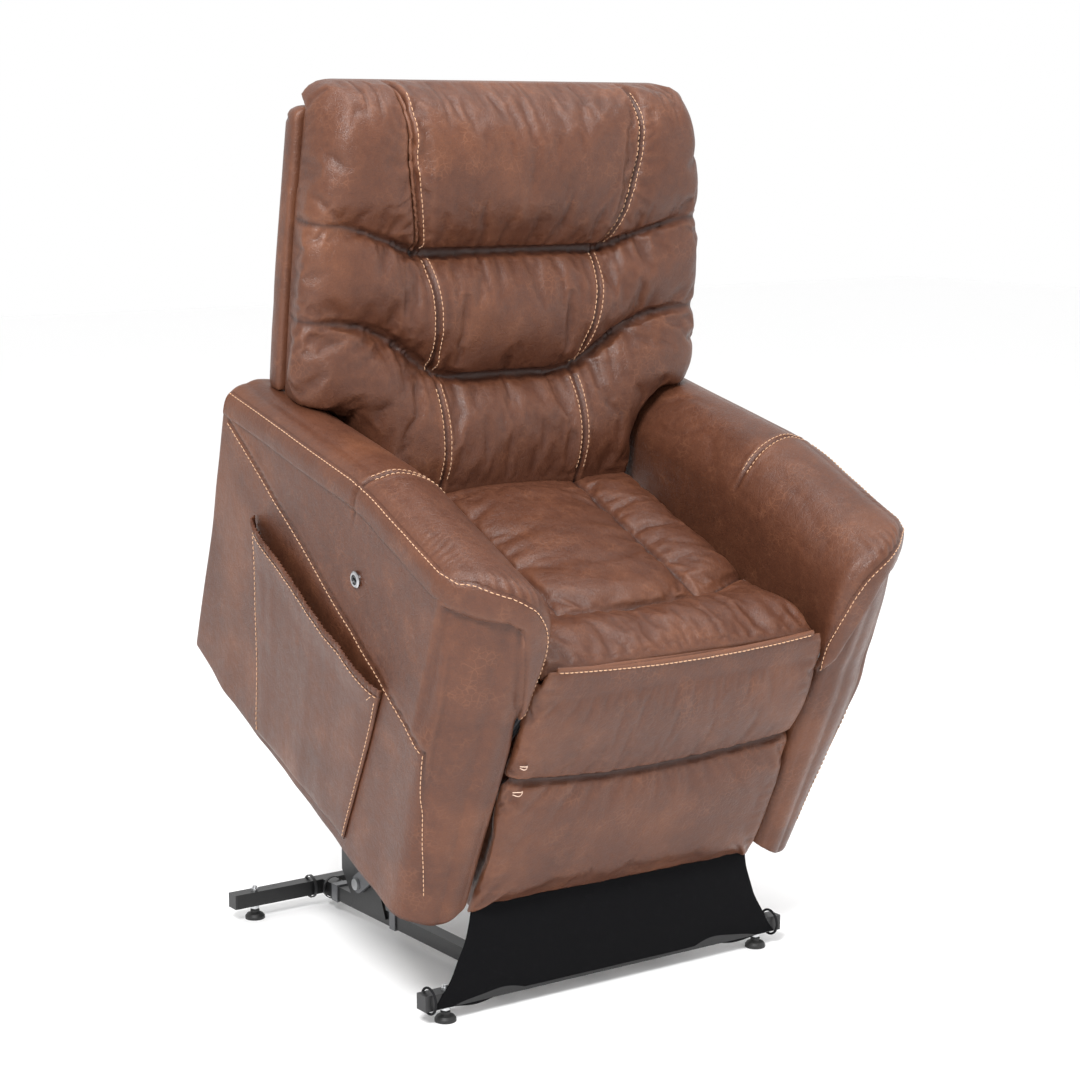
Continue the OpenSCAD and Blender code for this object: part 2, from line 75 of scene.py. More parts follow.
# A pad is drawn as x across, y along and z out of its face, then stood up to face the front.
FACE_FRONT = Matrix.Rotation(radians(90), 4, "X")

SEAT_HALF = 0.267        # half width of what fits between the arms
SEAT_CLEAR = 0.2715      # the furthest that a stuffed pad may swell towards an arm

BACK_TOP = 0.792
BACK_WING_FOOT = 0.290
BACK_FOOT = 0.098
BACK_FLOOR = 0.033

LEG_HALF = 0.264
LEG_TOP = 0.502          # the front panel runs on up to the seat's front edge and bends there
LEG_PAD_TOP = 0.472      # the stuffed part stops here, just over the hinge
LEG_FOOT = 0.040
LEG_LIP_HALF = 0.2795    # the face spreads past the hinge brackets, almost to the arms
LEG_FLOOR = 0.3625

ARM_FOOT_Z = 0.045
ARM_FOOT_X = 0.392
ARM_LEAN = radians(4.6)
ARM_IN = 0.282
ARM_TOP = 0.663
ARM_BEND = -0.086
ARM_REAR = 0.350
ARM_REAR_TOP = 0.579
ARM_FRONT = -0.410


# ---------------------------------------------------------------- camera, floor and light

def add_camera():
    data = bpy.data.cameras.new("camera")
    data.lens = 82.45
    data.sensor_width = 36
    camera = bpy.data.objects.new("camera", data)
    camera.location = (-2.2748, -3.2761, 1.3590)
    camera.rotation_euler = (radians(90 - 9.406), 0, radians(-34.79))
    bpy.context.scene.collection.objects.link(camera)
    bpy.context.scene.camera = camera


LIT_MIDDLE = Vector((0, 0.05, 0.7))


def add_area_light(name, place, size, watts):
    data = bpy.data.lights.new(name, "AREA")
    data.shape = "DISK"
    data.size = size
    data.energy = watts
    light = bpy.data.objects.new(name, data)
    light.location = place
    light.rotation_euler = (LIT_MIDDLE - Vector(place)).to_track_quat("-Z", "Y").to_euler()
    bpy.context.scene.collection.objects.link(light)


def add_studio():
    world = bpy.data.worlds.new("studio")
    world.use_nodes = True
    background = world.node_tree.nodes["Background"]
    background.inputs["Color"].default_value = (1, 1, 1, 1)
    background.inputs["Strength"].default_value = 1.0
    bpy.context.scene.world = world
    add_area_light("key", (-2.5, -2.3, 3.3), 1.2, 195)
    add_area_light("fill", (3.2, -2.2, 1.6), 2.2, 20)
    add_area_light("top", (0.2, -0.7, 3.9), 1.6, 62)
    bpy.context.scene.view_settings.view_transform = "Standard"
    bpy.context.scene.view_settings.look = "None"


def add_floor():
    half = 14
    floor = make_object("floor", [(-half, -half, 0), (half, -half, 0), (half, half, 0), (-half, half, 0)],
                        [(0, 1, 2, 3)])
    paint = new_material("floor_paper")
    shader = paint.node_tree.nodes["Principled BSDF"]
    shader.inputs["Base Color"].default_value = (0.985, 0.985, 0.985, 1)
    shader.inputs["Roughness"].default_value = 0.6
    floor.data.materials.append(paint)


# ---------------------------------------------------------------- numbers

def smoothstep(value, low, high):
    t = np.clip((value - low) / (high - low), 0, 1)
    return t * t * (3 - 2 * t)


def bent_line(x, xs, ys, blur):
    """Straight runs through a few points, with the corners rounded off over blur."""
    return np.mean([np.interp(x + step, xs, ys) for step in np.linspace(-blur, blur, 7)], axis=0)


def quarter_round(depth, radius):
    """Rises from 0 at an edge to 1 at radius inside it, as a quarter of an ellipse."""
    t = np.clip(depth / radius, 0, 1)
    return np.sqrt(1 - (1 - t) ** 2)


def ridge(distance, width):
    return np.exp(-(distance / width) ** 2)


def noise(*coords, seed=0):
    """Smooth noise from -1 to 1, the same on every run."""
    points = np.stack(np.broadcast_arrays(*coords), 1).astype(float)
    points = np.pad(points, ((0, 0), (0, 3 - points.shape[1]))) + seed * 17.31
    cell = np.floor(points).astype(np.int64)
    t = points - cell
    t = t * t * (3 - 2 * t)
    total = np.zeros(len(points))
    for corner in product((0, 1), repeat=3):
        key = (cell + corner) @ np.array((374761393, 668265263, 2147483647))
        key = ((key ^ (key >> 13)) * 1274126177) & 0x7FFFFFFF
        value = ((key ^ (key >> 16)) & 0xFFFF) / 32767.5 - 1
        total += value * np.prod(np.where(corner, t, 1 - t), axis=1)
    return total


def creased(values):
    """Turns smooth noise into narrow valleys between soft swells."""
    return np.clip(1 - 3.2 * np.abs(values), 0, 1)


# ---------------------------------------------------------------- meshes

def make_object(name, points, faces):
    mesh = bpy.data.meshes.new(name)
    mesh.from_pydata([tuple(p) for p in points], [], [tuple(f) for f in faces])
    obj = bpy.data.objects.new(name, mesh)
    bpy.context.scene.collection.objects.link(obj)
    return obj


def grid_faces(index):
    """Four-sided faces over a grid of point numbers."""
    return np.stack([index[:-1, :-1], index[:-1, 1:], index[1:, 1:], index[1:, :-1]], -1).reshape(-1, 4)


def sweep_faces(rings, size):
    """Faces of a closed tube whose points come ring after ring, with both ends capped."""
    faces = []
    for i in range(rings - 1):
        for k in range(size):
            a, b = i * size + k, i * size + (k + 1) % size
            faces.append((a, b, b + size, a + size))
    faces.append(tuple(reversed(range(size))))
    faces.append(tuple((rings - 1) * size + k for k in range(size)))
    return faces


def points_of(obj):
    flat = np.zeros(len(obj.data.vertices) * 3)
    obj.data.vertices.foreach_get("co", flat)
    return flat.reshape(-1, 3)


def normals_of(obj):
    flat = np.zeros(len(obj.data.vertices) * 3)
    obj.data.vertex_normals.foreach_get("vector", flat)
    return flat.reshape(-1, 3)


def set_points(obj, points):
    obj.data.vertices.foreach_set("co", np.asarray(points, float).ravel())
    obj.data.update()


def apply_modifiers(obj):
    evaluated = obj.evaluated_get(bpy.context.evaluated_depsgraph_get())
    mesh = bpy.data.meshes.new_from_object(evaluated)
    old = obj.data
    obj.modifiers.clear()
    obj.data = mesh
    bpy.data.meshes.remove(old)
    obj.data.name = obj.name


def remesh(obj, voxel, rounds):
    modifier = obj.modifiers.new("voxels", "REMESH")
    modifier.mode = "VOXEL"
    modifier.voxel_size = voxel
    smooth = obj.modifiers.new("soften", "SMOOTH")
    smooth.factor = 0.5
    smooth.iterations = rounds
    apply_modifiers(obj)


def subdivide(obj):
    modifier = obj.modifiers.new("finer", "SUBSURF")
    modifier.levels = 1
    modifier.render_levels = 1
    apply_modifiers(obj)


def solidify(obj, thickness):
    modifier = obj.modifiers.new("thickness", "SOLIDIFY")
    modifier.thickness = thickness
    modifier.offset = -1
    apply_modifiers(obj)


def set_attribute(obj, name, values):
    layer = obj.data.attributes.get(name) or obj.data.attributes.new(name, "FLOAT", "POINT")
    layer.data.foreach_set("value", np.clip(values, 0, 1).astype(np.float32))


def mark_edges(obj, seam=None):
    """Stores how proud each point is, and how far into hollows and how near seams it lies, for the leather's
    rubbed edges and its painted shade.
    """
    points, normals = points_of(obj), normals_of(obj)
    ends = np.zeros(len(obj.data.edges) * 2, np.int64)
    obj.data.edges.foreach_get("vertices", ends)
    a, b = ends.reshape(-1, 2).T
    count = np.bincount(np.r_[a, b], minlength=len(points)).clip(1)

    def average(values):
        return (np.bincount(a, values[b], len(points)) + np.bincount(b, values[a], len(points))) / count

    pull = np.stack([average(points[:, i]) for i in range(3)], 1) - points
    length = np.linalg.norm(points[a] - points[b], axis=1)
    reach = (np.bincount(a, length, len(points)) + np.bincount(b, length, len(points))) / count
    bend = np.einsum("ij,ij->i", pull, normals) / reach.clip(1e-6) ** 2
    for _ in range(3):
        bend = 0.5 * bend + 0.5 * average(bend)
    set_attribute(obj, "proud", -bend / 60)
    # The hollows are darkened in the leather as painted shade.
    set_attribute(obj, "hollow", bend / 60)
    # Points near seams are darkened in the leather as painted shade.
    if seam is not None:
        set_attribute(obj, "seam", seam)


def dress(obj, material):
    obj.data.shade_smooth()
    obj.data.materials.clear()
    obj.data.materials.append(material)


def finish_piece(obj, body, material, replaced=()):
    dress(obj, material)
    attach(obj, body)
    if replaced:
        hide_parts(*replaced)
    return obj


def place_mesh(obj, matrix):
    obj.data.transform(matrix)
    obj.data.update()


def mirror_mesh(obj):
    obj.data.transform(Matrix.Diagonal((-1, 1, 1, 1)))
    obj.data.flip_normals()
    obj.data.update()


def tree_of(obj):
    mesh = obj.data
    return BVHTree.FromPolygons([v.co for v in mesh.vertices], [p.vertices for p in mesh.polygons])


# ---------------------------------------------------------------- stuffed pads

def grid_block(rows, half_width, out, floor, columns=90):
    """A closed body over a grid: rows along y, from -half_width to half_width across, floor to out."""
    share = np.sin(np.linspace(-pi / 2, pi / 2, columns))
    share = 0.35 * share + 0.65 * np.linspace(-1, 1, columns)
    along = np.repeat(rows, columns)
    across = np.tile(share, len(rows)) * np.repeat(half_width(rows), columns)
    upper = np.stack([across, along, out(across, along)], 1)
    lower = np.stack([across, along, floor(across, along)], 1)
    count = len(upper)
    index = np.arange(count).reshape(len(rows), columns)
    quads = grid_faces(index)
    rim = np.r_[index[0, :-1], index[:-1, -1], index[-1, :0:-1], index[:0:-1, 0]]
    ahead = np.roll(rim, -1)
    sides = np.stack([rim, rim + count, ahead + count, ahead], 1)
    return np.r_[upper, lower], np.r_[quads, quads[:, ::-1] + count, sides]


def pad_body(name, blocks, voxel, rounds):
    points, faces, start = [], [], 0
    for block_points, block_faces in blocks:
        points.append(block_points)
        faces.append(block_faces + start)
        start += len(block_points)
    pad = make_object(name, np.concatenate(points), np.concatenate(faces))
    remesh(pad, voxel, rounds)
    return pad


def inflate(pad, pinned, cap, pressure=4.0, slack=0.04, frames=20):
    """Stuffs a pad: cloth under pressure, held where pinned, and no point moves further than cap."""
    before = points_of(pad)
    group = pad.vertex_groups.new(name="held")
    group.add([int(i) for i in np.nonzero(pinned)[0]], 1.0, "REPLACE")
    cloth = pad.modifiers.new("stuffing", "CLOTH")
    settings = cloth.settings
    settings.quality = 5
    settings.mass = 0.3
    settings.tension_stiffness = 12
    settings.compression_stiffness = 12
    settings.shear_stiffness = 6
    settings.bending_stiffness = 0.6
    settings.use_pressure = True
    settings.uniform_pressure_force = pressure
    settings.shrink_min = -slack
    settings.vertex_group_mass = "held"
    settings.effector_weights.gravity = 0
    cloth.point_cache.frame_start = 1
    cloth.point_cache.frame_end = frames
    scene = bpy.context.scene
    for step in range(1, frames + 1):
        scene.frame_set(step)
    evaluated = pad.evaluated_get(bpy.context.evaluated_depsgraph_get())
    flat = np.zeros(len(evaluated.data.vertices) * 3)
    evaluated.data.vertices.foreach_get("co", flat)
    move = flat.reshape(-1, 3) - before
    length = np.linalg.norm(move, axis=1).clip(1e-9)
    move *= np.minimum(1, cap * np.tanh(length / cap) / length)[:, None]
    pad.modifiers.remove(cloth)
    pad.vertex_groups.clear()
    scene.frame_set(1)
    set_points(pad, before + move)


def press_detail(pad, detail, clear=None):
    """Moves each point along its normal by the detail function, which also says where the seams are, for the
    painted shade along them.
    """
    points = points_of(pad)
    offset, seam = detail(*points.T)
    points = points + normals_of(pad) * offset[:, None]
    if clear is not None:
        points[:, 0] = np.clip(points[:, 0], -clear, clear)
    set_points(pad, points)
    mark_edges(pad, seam)


# ---------------------------------------------------------------- thread

class Thread:
    """Collects stitches for one body, as small bent rods of thread lying on a surface."""
    SIDES = 5
    PROFILE = ((0.0, 0.25, -0.7), (0.12, 0.8, 0.1), (0.5, 1.0, 0.75), (0.88, 0.8, 0.1), (1.0, 0.25, -0.7))

    def __init__(self):
        self.points = []
        self.faces = []

    def rod(self, start, end, normal, radius):
        start, end, normal = Vector(start), Vector(end), Vector(normal)
        along = (end - start).normalized()
        side = along.cross(normal).normalized()
        first = len(self.points)
        for share, thick, lift in self.PROFILE:
            middle = start.lerp(end, share) + normal * (lift * radius)
            for k in range(self.SIDES):
                turn = 2 * pi * k / self.SIDES
                ring = (side * cos(turn) + normal * sin(turn)) * (radius * thick)
                self.points.append(middle + ring)
        rings = len(self.PROFILE)
        for r in range(rings - 1):
            for k in range(self.SIDES):
                a = first + r * self.SIDES + k
                b = first + r * self.SIDES + (k + 1) % self.SIDES
                self.faces.append((a, b, b + self.SIDES, a + self.SIDES))
        self.faces.append(tuple(first + k for k in reversed(range(self.SIDES))))
        self.faces.append(tuple(first + (rings - 1) * self.SIDES + k for k in range(self.SIDES)))

    def row(self, hits, place, pitch=0.0088, length=0.0066, radius=0.00085):
        """Stitches along a line of (point, normal) pairs, evenly spaced."""
        if len(hits) < 2:
            return
        points = np.array([tuple(h[0]) for h in hits])
        normals = np.array([tuple(h[1]) for h in hits])
        run = np.r_[0, np.cumsum(np.linalg.norm(np.diff(points, axis=0), axis=1))]

        def at(values, s):
            return np.array([np.interp(s, run, values[:, i]) for i in range(3)])

        turn = place.to_3x3()
        for s in np.arange(0, run[-1] - length, pitch):
            normal = (turn @ Vector(at(normals, s + length / 2))).normalized()
            self.rod(place @ Vector(at(points, s)), place @ Vector(at(points, s + length)), normal, radius)

    def build(self, name, body, material):
        obj = make_object(name, self.points, self.faces)
        return finish_piece(obj, body, material)


def lay_on(tree, points, towards, reach=0.16, lift=0.0004):
    """Drops points onto a surface along a direction, and keeps those that land."""
    hits = []
    for i, point in enumerate(points):
        way = Vector(towards[i] if np.ndim(towards) == 2 else towards).normalized()
        spot, normal, _, _ = tree.ray_cast(Vector(point) - way * reach, way, 2 * reach)
        if spot is not None:
            if normal.dot(way) > 0:
                normal = -normal
            hits.append((spot + normal * lift, normal))
    return hits


def along_curve(count, curve):
    """Points of a curve given as a function of a share from 0 to 1."""
    return [curve(t) for t in np.linspace(0, 1, count)]


# ---------------------------------------------------------------- materials

def new_material(name):
    material = bpy.data.materials.new(name)
    material.use_nodes = True
    return material


class Nodes:
    """Short names for wiring a material's nodes."""

    def __init__(self, name):
        self.material = new_material(name)
        self.tree = self.material.node_tree
        self.shader = self.tree.nodes["Principled BSDF"]
        self.coords = self.tree.nodes.new("ShaderNodeTexCoord").outputs["Object"]

    def link(self, source, target):
        if isinstance(source, (int, float)):
            target.default_value = source
        elif isinstance(source, tuple):
            short = len(source) == 3 and len(target.default_value) == 4
            target.default_value = (*source, 1) if short else source
        else:
            self.tree.links.new(source, target)

    def add(self, kind, output=0, settings=None, **inputs):
        node = self.tree.nodes.new(kind)
        for key, value in (settings or {}).items():
            setattr(node, key, value)
        for key, value in inputs.items():
            self.link(value, node.inputs[int(key[1:]) if key[1:].isdigit() else key])
        return node.outputs[output]

    def noise(self, scale, detail=3.0, roughness=0.55, distortion=0.0):
        return self.add("ShaderNodeTexNoise", 0, Vector=self.coords, Scale=scale, Detail=detail,
                        Roughness=roughness, Distortion=distortion)

    def cracks(self, scale, coords):
        node = self.tree.nodes.new("ShaderNodeTexVoronoi")
        node.feature = "DISTANCE_TO_EDGE"
        self.link(coords, node.inputs["Vector"])
        node.inputs["Scale"].default_value = scale
        return node.outputs["Distance"]

    def bands(self, direction, scale, distortion, detail=2.0):
        return self.add("ShaderNodeTexWave", 0, {"wave_type": "BANDS", "bands_direction": direction},
                        Vector=self.coords, Scale=scale, Distortion=distortion, Detail=detail)

    def ranged(self, value, low, high, to_low=0.0, to_high=1.0):
        node = self.tree.nodes.new("ShaderNodeMapRange")
        for socket, item in zip(node.inputs, (value, low, high, to_low, to_high)):
            self.link(item, socket)
        return node.outputs[0]

    def math(self, operation, a, b):
        node = self.tree.nodes.new("ShaderNodeMath")
        node.operation = operation
        self.link(a, node.inputs[0])
        self.link(b, node.inputs[1])
        return node.outputs[0]

    def mix(self, factor, a, b):
        node = self.tree.nodes.new("ShaderNodeMix")
        node.data_type = "RGBA"
        self.link(factor, node.inputs[0])
        self.link(a, node.inputs[6])
        self.link(b, node.inputs[7])
        return node.outputs[2]

    def attribute(self, name):
        node = self.tree.nodes.new("ShaderNodeAttribute")
        node.attribute_name = name
        return node.outputs["Fac"]

    def bump(self, height, distance, strength=1.0, normal=None):
        node = self.tree.nodes.new("ShaderNodeBump")
        node.inputs["Strength"].default_value = strength
        node.inputs["Distance"].default_value = distance
        self.link(height, node.inputs["Height"])
        if normal is not None:
            self.link(normal, node.inputs["Normal"])
        return node.outputs["Normal"]

    def finish(self, colour, roughness, normal=None, **sockets):
        self.link(colour, self.shader.inputs["Base Color"])
        self.link(roughness, self.shader.inputs["Roughness"])
        if normal is not None:
            self.link(normal, self.shader.inputs["Normal"])
        for key, value in sockets.items():
            self.shader.inputs[key.replace("_", " ")].default_value = value
        return self.material


LEATHER = (0.080, 0.0282, 0.0150)
LEATHER_TAN = (0.158, 0.058, 0.0265)
# A dark leather tone, also mixed into the hollows as painted shade.
LEATHER_DARK_AND_SHADE = (0.038, 0.0142, 0.0092)
LEATHER_CRACK = (0.22, 0.092, 0.048)
LEATHER_RUBBED = (0.20, 0.086, 0.048)
# Near-black painted shade for the sewn lines.
SEAM_SHADE = (0.022, 0.009, 0.007)


def leather(name, base=LEATHER, roughness=0.36):
    """Distressed pull-up leather: warm patches, fine crackle and paler rubbed edges, with painted shade
    darkening its hollows and seams.
    """
    n = Nodes(name)
    warped = n.add("ShaderNodeVectorMath", 0, {"operation": "ADD"}, _0=n.coords,
                   _1=n.add("ShaderNodeVectorMath", 0, {"operation": "SCALE"},
                            _0=n.add("ShaderNodeTexNoise", 1, Vector=n.coords, Scale=26.0, Detail=2.0),
                            _3=0.02))
    patches = n.ranged(n.noise(5.5, 4, 0.6), 0.50, 0.72)
    shade = n.ranged(n.noise(9.0, 5, 0.62, 0.6), 0.40, 0.70)
    blotch = n.ranged(n.noise(70.0, 4, 0.7), 0.38, 0.68)
    fine = n.noise(420.0, 3, 0.6)
    cracks = n.ranged(n.cracks(95.0, warped), 0.0, 0.10, 1.0, 0.0)
    broken = n.math("MULTIPLY", cracks, n.ranged(n.noise(22.0, 3), 0.50, 0.66))
    grain = n.ranged(n.cracks(420.0, warped), 0.0, 0.35)
    proud, hollow, seam = (n.attribute(a) for a in ("proud", "hollow", "seam"))
    colour = n.mix(n.math("MULTIPLY", shade, 0.42), base, LEATHER_DARK_AND_SHADE)
    colour = n.mix(n.math("MULTIPLY", patches, 0.55), colour, LEATHER_TAN)
    colour = n.mix(n.math("MULTIPLY", blotch, 0.22), colour, LEATHER_TAN)
    colour = n.mix(n.math("MULTIPLY", n.ranged(fine, 0.42, 0.66), 0.22), colour, LEATHER_DARK_AND_SHADE)
    colour = n.mix(n.math("MULTIPLY", broken, 0.26), colour, LEATHER_CRACK)
    colour = n.mix(n.math("MULTIPLY", proud, 0.45), colour, LEATHER_RUBBED)
    # Painted shade darkens the hollows.
    colour = n.mix(n.math("MULTIPLY", hollow, 0.55), colour, LEATHER_DARK_AND_SHADE)
    # Painted shade darkens the sewn lines.
    colour = n.mix(n.math("MULTIPLY", seam, 0.65), colour, SEAM_SHADE)
    rough = n.ranged(blotch, 0, 1, roughness - 0.05, roughness + 0.07)
    rough = n.math("ADD", rough, n.math("MULTIPLY", fine, 0.06))
    normal = n.bump(grain, 0.00035, 0.55)
    pebble = n.math("ADD", n.noise(140.0, 4, 0.6), n.math("MULTIPLY", cracks, -0.35))
    normal = n.bump(pebble, 0.0009, 0.5, normal)
    normal = n.bump(n.noise(24.0, 3, 0.5), 0.004, 0.35, normal)
    return n.finish(colour, rough, normal, Specular_IOR_Level=0.30)


def thread_material():
    n = Nodes("thread")
    twist = n.bands("DIAGONAL", 420.0, 1.5)
    colour = n.mix(twist, (0.42, 0.22, 0.12), (0.62, 0.37, 0.21))
    return n.finish(colour, 0.7, n.bump(twist, 0.0003, 0.6), Sheen_Weight=0.3)


def cream_thread_material():
    n = Nodes("cream_thread")
    twist = n.bands("DIAGONAL", 500.0, 1.0)
    return n.finish(n.mix(twist, (0.56, 0.38, 0.28), (0.80, 0.62, 0.50)), 0.75, n.bump(twist, 0.0003, 0.6))


def powder_coat(name, colour, light, gloss):
    """Powder coated steel: an orange-peel skin with faint scuffs and dust."""
    n = Nodes(name)
    peel = n.noise(520.0, 2, 0.5)
    scuff = n.ranged(n.noise(38.0, 6, 0.75, 1.2), 0.58, 0.74)
    tone = n.mix(n.math("MULTIPLY", scuff, 0.5), colour, light)
    rough = n.ranged(scuff, 0, 1, gloss, gloss + 0.22)
    return n.finish(tone, rough, n.bump(peel, 0.0004, 0.45), Specular_IOR_Level=0.5)


def plated(name, colour, dull, gloss):
    """Bright plated steel with drawn lines, dull spots and fingerprints."""
    n = Nodes(name)
    lines = n.noise(90.0, 5, 0.7, 0.3)
    spots = n.ranged(n.noise(55.0, 4, 0.7), 0.52, 0.72)
    tone = n.mix(n.math("MULTIPLY", spots, 0.6), colour, dull)
    rough = n.math("ADD", n.ranged(spots, 0, 1, gloss, gloss + 0.2), n.math("MULTIPLY", lines, 0.08))
    return n.finish(tone, rough, n.bump(lines, 0.0002, 0.35), Metallic=1.0)


def moulded(name, colour, light, gloss):
    """Moulded plastic or rubber: fine spark-eroded texture and slightly rubbed patches."""
    n = Nodes(name)
    texture = n.noise(900.0, 2, 0.6)
    rubbed = n.ranged(n.noise(30.0, 5, 0.7), 0.50, 0.75)
    tone = n.mix(n.math("MULTIPLY", rubbed, 0.45), colour, light)
    return n.finish(tone, n.ranged(rubbed, 0, 1, gloss, gloss + 0.15), n.bump(texture, 0.0003, 0.4))


def knit(name, colour, light):
    """Black stretch knit: rows of small loops, matt, with a slight fuzz."""
    n = Nodes(name)
    rows = n.bands("Z", 260.0, 1.2, 1.0)
    columns = n.bands("X", 300.0, 0.8, 1.0)
    loops = n.math("MULTIPLY", rows, columns)
    lint = n.ranged(n.noise(60.0, 6, 0.8), 0.56, 0.75)
    tone = n.mix(loops, colour, light)
    tone = n.mix(n.math("MULTIPLY", lint, 0.25), tone, (0.018, 0.018, 0.020))
    normal = n.bump(loops, 0.0006, 0.6)
    return n.finish(tone, 0.9, normal, Specular_IOR_Level=0.10)


def plywood(name):
    n = Nodes(name)
    grain = n.bands("Y", 9.0, 5.0, 4.0)
    fibre = n.noise(160.0, 5, 0.7)
    tone = n.mix(grain, (0.48, 0.33, 0.19), (0.66, 0.49, 0.31))
    tone = n.mix(n.math("MULTIPLY", fibre, 0.4), tone, (0.34, 0.22, 0.12))
    return n.finish(tone, 0.72, n.bump(fibre, 0.0006, 0.5))


def frame_materials():
    """One detailed material for each of the record's slots."""
    return {
        "upholstery": leather("upholstery_leather"),
        "upholstery_inner": leather("inner_leather", (0.085, 0.035, 0.021), 0.5),
        "black_steel": powder_coat("black_powder_coat", (0.0055, 0.0055, 0.006),
                                   (0.018, 0.018, 0.019), 0.40),
        "link_steel": powder_coat("grey_powder_coat", (0.10, 0.102, 0.108), (0.22, 0.22, 0.225), 0.36),
        "zinc_steel": plated("zinc_plate", (0.62, 0.63, 0.64), (0.40, 0.40, 0.41), 0.26),
        "ram_steel": plated("ground_ram", (0.72, 0.73, 0.74), (0.55, 0.55, 0.56), 0.14),
        "black_plastic": moulded("black_plastic", (0.014, 0.014, 0.015), (0.045, 0.045, 0.047), 0.42),
        "foot_rubber": moulded("foot_rubber", (0.010, 0.010, 0.010), (0.05, 0.048, 0.046), 0.55),
        "skirt_fabric": knit("skirt_knit", (0.0022, 0.0022, 0.0028), (0.0055, 0.0055, 0.0064)),
        "elastic": knit("black_elastic", (0.010, 0.010, 0.011), (0.03, 0.03, 0.032)),
        "socket_metal": plated("socket_chrome", (0.40, 0.40, 0.41), (0.26, 0.26, 0.26), 0.24),
        "socket_plastic": moulded("socket_plastic", (0.012, 0.012, 0.013), (0.03, 0.03, 0.03), 0.4),
        "plywood": plywood("plywood"),
    }


def dress_frame(materials):
    """Gives every CAD node that still shows the detailed material of its own slot."""
    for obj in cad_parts.values():
        for holder in obj.material_slots:
            name = holder.material.name.split(".")[0] if holder.material else ""
            found = [key for key in materials if name.endswith(key)]
            holder.material = materials[max(found, key=len) if found else "black_steel"]


# ---------------------------------------------------------------- back

def head_crease(x):
    return bent_line(np.abs(x), (0, 0.18, 0.26, 0.33, 0.41), (0.527, 0.527, 0.556, 0.577, 0.579), 0.02)


def lumbar_crease(x):
    return bent_line(np.abs(x), (0, 0.13, 0.207, 0.256, 0.338, 0.41),
                     (0.322, 0.322, 0.378, 0.411, 0.424, 0.427), 0.032)


def head_side(v):
    return bent_line(v, (0.52, 0.60, 0.68, 0.79), (0.180, 0.206, 0.222, 0.228), 0.02)


def lumbar_side(v):
    return np.interp(v, (0.32, 0.42, 0.53), (0.140, 0.155, 0.167))


LOWER_SIDE = 0.136


def back_half_width(v):
    """Narrow between the arms, then out over the arms' rounded inner edges to the wings."""
    wing = bent_line(v, (0.30, 0.42, 0.57, 0.70, 0.80), (0.374, 0.375, 0.373, 0.367, 0.360), 0.02)
    start = 0.188
    climb = np.clip((v - start) / (BACK_WING_FOOT - start), 0, 1)
    low = SEAT_HALF + (0.368 - SEAT_HALF) * (1 - np.sqrt(1 - climb ** 2))
    corner = 0.045
    top = np.clip((v - (BACK_TOP - corner)) / corner, 0, 1)
    return np.where(v < BACK_WING_FOOT, low, wing) - corner * (1 - np.sqrt(1 - top ** 2))


def fullness(x, bands):
    """How much of a band's full bulge is left at x: full in the middle, nearly flat on the wings."""
    return bent_line(np.abs(x), (0, 0.15, 0.25, 0.34, 0.41), bands, 0.03)


def back_height(x, v):
    """How far the front of the back cushion stands out at each point across and up it."""
    head, lumbar = head_crease(x), lumbar_crease(x)
    crease = bent_line(np.abs(x), (0, 0.18, 0.30, 0.37), (0.080, 0.084, 0.106, 0.112), 0.03)
    up_head = np.clip((v - head) / (BACK_TOP - head), 0, 1)
    mid = (v - (head + lumbar) / 2) / ((head - lumbar) / 2)
    up_low = np.clip((lumbar - v) / (lumbar - BACK_FOOT), 0, 1)
    head_bulge = 0.050 * fullness(x, (1, 0.97, 0.70, 0.36, 0.25)) * quarter_round(up_head, 0.36)
    lumbar_bulge = 0.054 * fullness(x, (1, 0.92, 0.62, 0.22, 0.12))
    lumbar_bulge = lumbar_bulge * np.sqrt(1 - np.clip(np.abs(mid), 0, 1) ** 2.4)
    low_bulge = 0.070 * fullness(x, (1, 0.95, 0.70, 0.30, 0.16)) * quarter_round(up_low, 0.50)
    bulge = np.where(v > head, head_bulge, np.where(v > lumbar, lumbar_bulge, low_bulge))
    return crease + bulge


def back_front(x, v):
    height = back_height(x, v) - BACK_FLOOR
    side = 0.50 + 0.50 * quarter_round(back_half_width(v) - np.abs(x), 0.034)
    top = 0.10 + 0.90 * quarter_round(BACK_TOP - v, 0.092)
    foot = quarter_round(v - BACK_FOOT + 0.004, 0.060)
    return BACK_FLOOR + height * side * top * foot


def back_rear(x, v):
    """The rear face is flat against the shell, and rolls back over its top."""
    return BACK_FLOOR - 0.026 * smoothstep(v, 0.745, 0.770) + 0 * x


def flare_wings(pad):
    """Splays the front of the wings outwards low down, and draws it in towards the top corners."""
    points = points_of(pad)
    front = smoothstep(points[:, 2], 0.045, 0.105)
    wing = smoothstep(np.abs(points[:, 0]), 0.25, 0.36)
    flare = bent_line(points[:, 1], (0.29, 0.32, 0.42, 0.555, 0.69, 0.78),
                      (0.0, 0.066, 0.052, 0.030, -0.022, -0.060), 0.02)
    points[:, 0] *= 1 + flare * front * wing
    set_points(pad, points)


def back_seam_distances(x, v):
    """Distances across the back's sewn lines: the two long creases, then the side seams of each band."""
    ax = np.abs(x)
    head, lumbar = head_crease(x), lumbar_crease(x)
    step = 0.004
    head_slope = (head_crease(ax + step) - head_crease(ax - step)) / (2 * step)
    lumbar_slope = (lumbar_crease(ax + step) - lumbar_crease(ax - step)) / (2 * step)
    to_head = (v - head) / np.sqrt(1 + head_slope ** 2)
    to_lumbar = (v - lumbar) / np.sqrt(1 + lumbar_slope ** 2)
    to_head_side = np.where(v > head - 0.004, ax - head_side(v), 1)
    to_lumbar_side = np.where((v < head) & (v > lumbar), ax - lumbar_side(v), 1)
    to_low_side = np.where(v < lumbar, ax - LOWER_SIDE, 1)
    return to_head, to_lumbar, to_head_side, to_lumbar_side, to_low_side


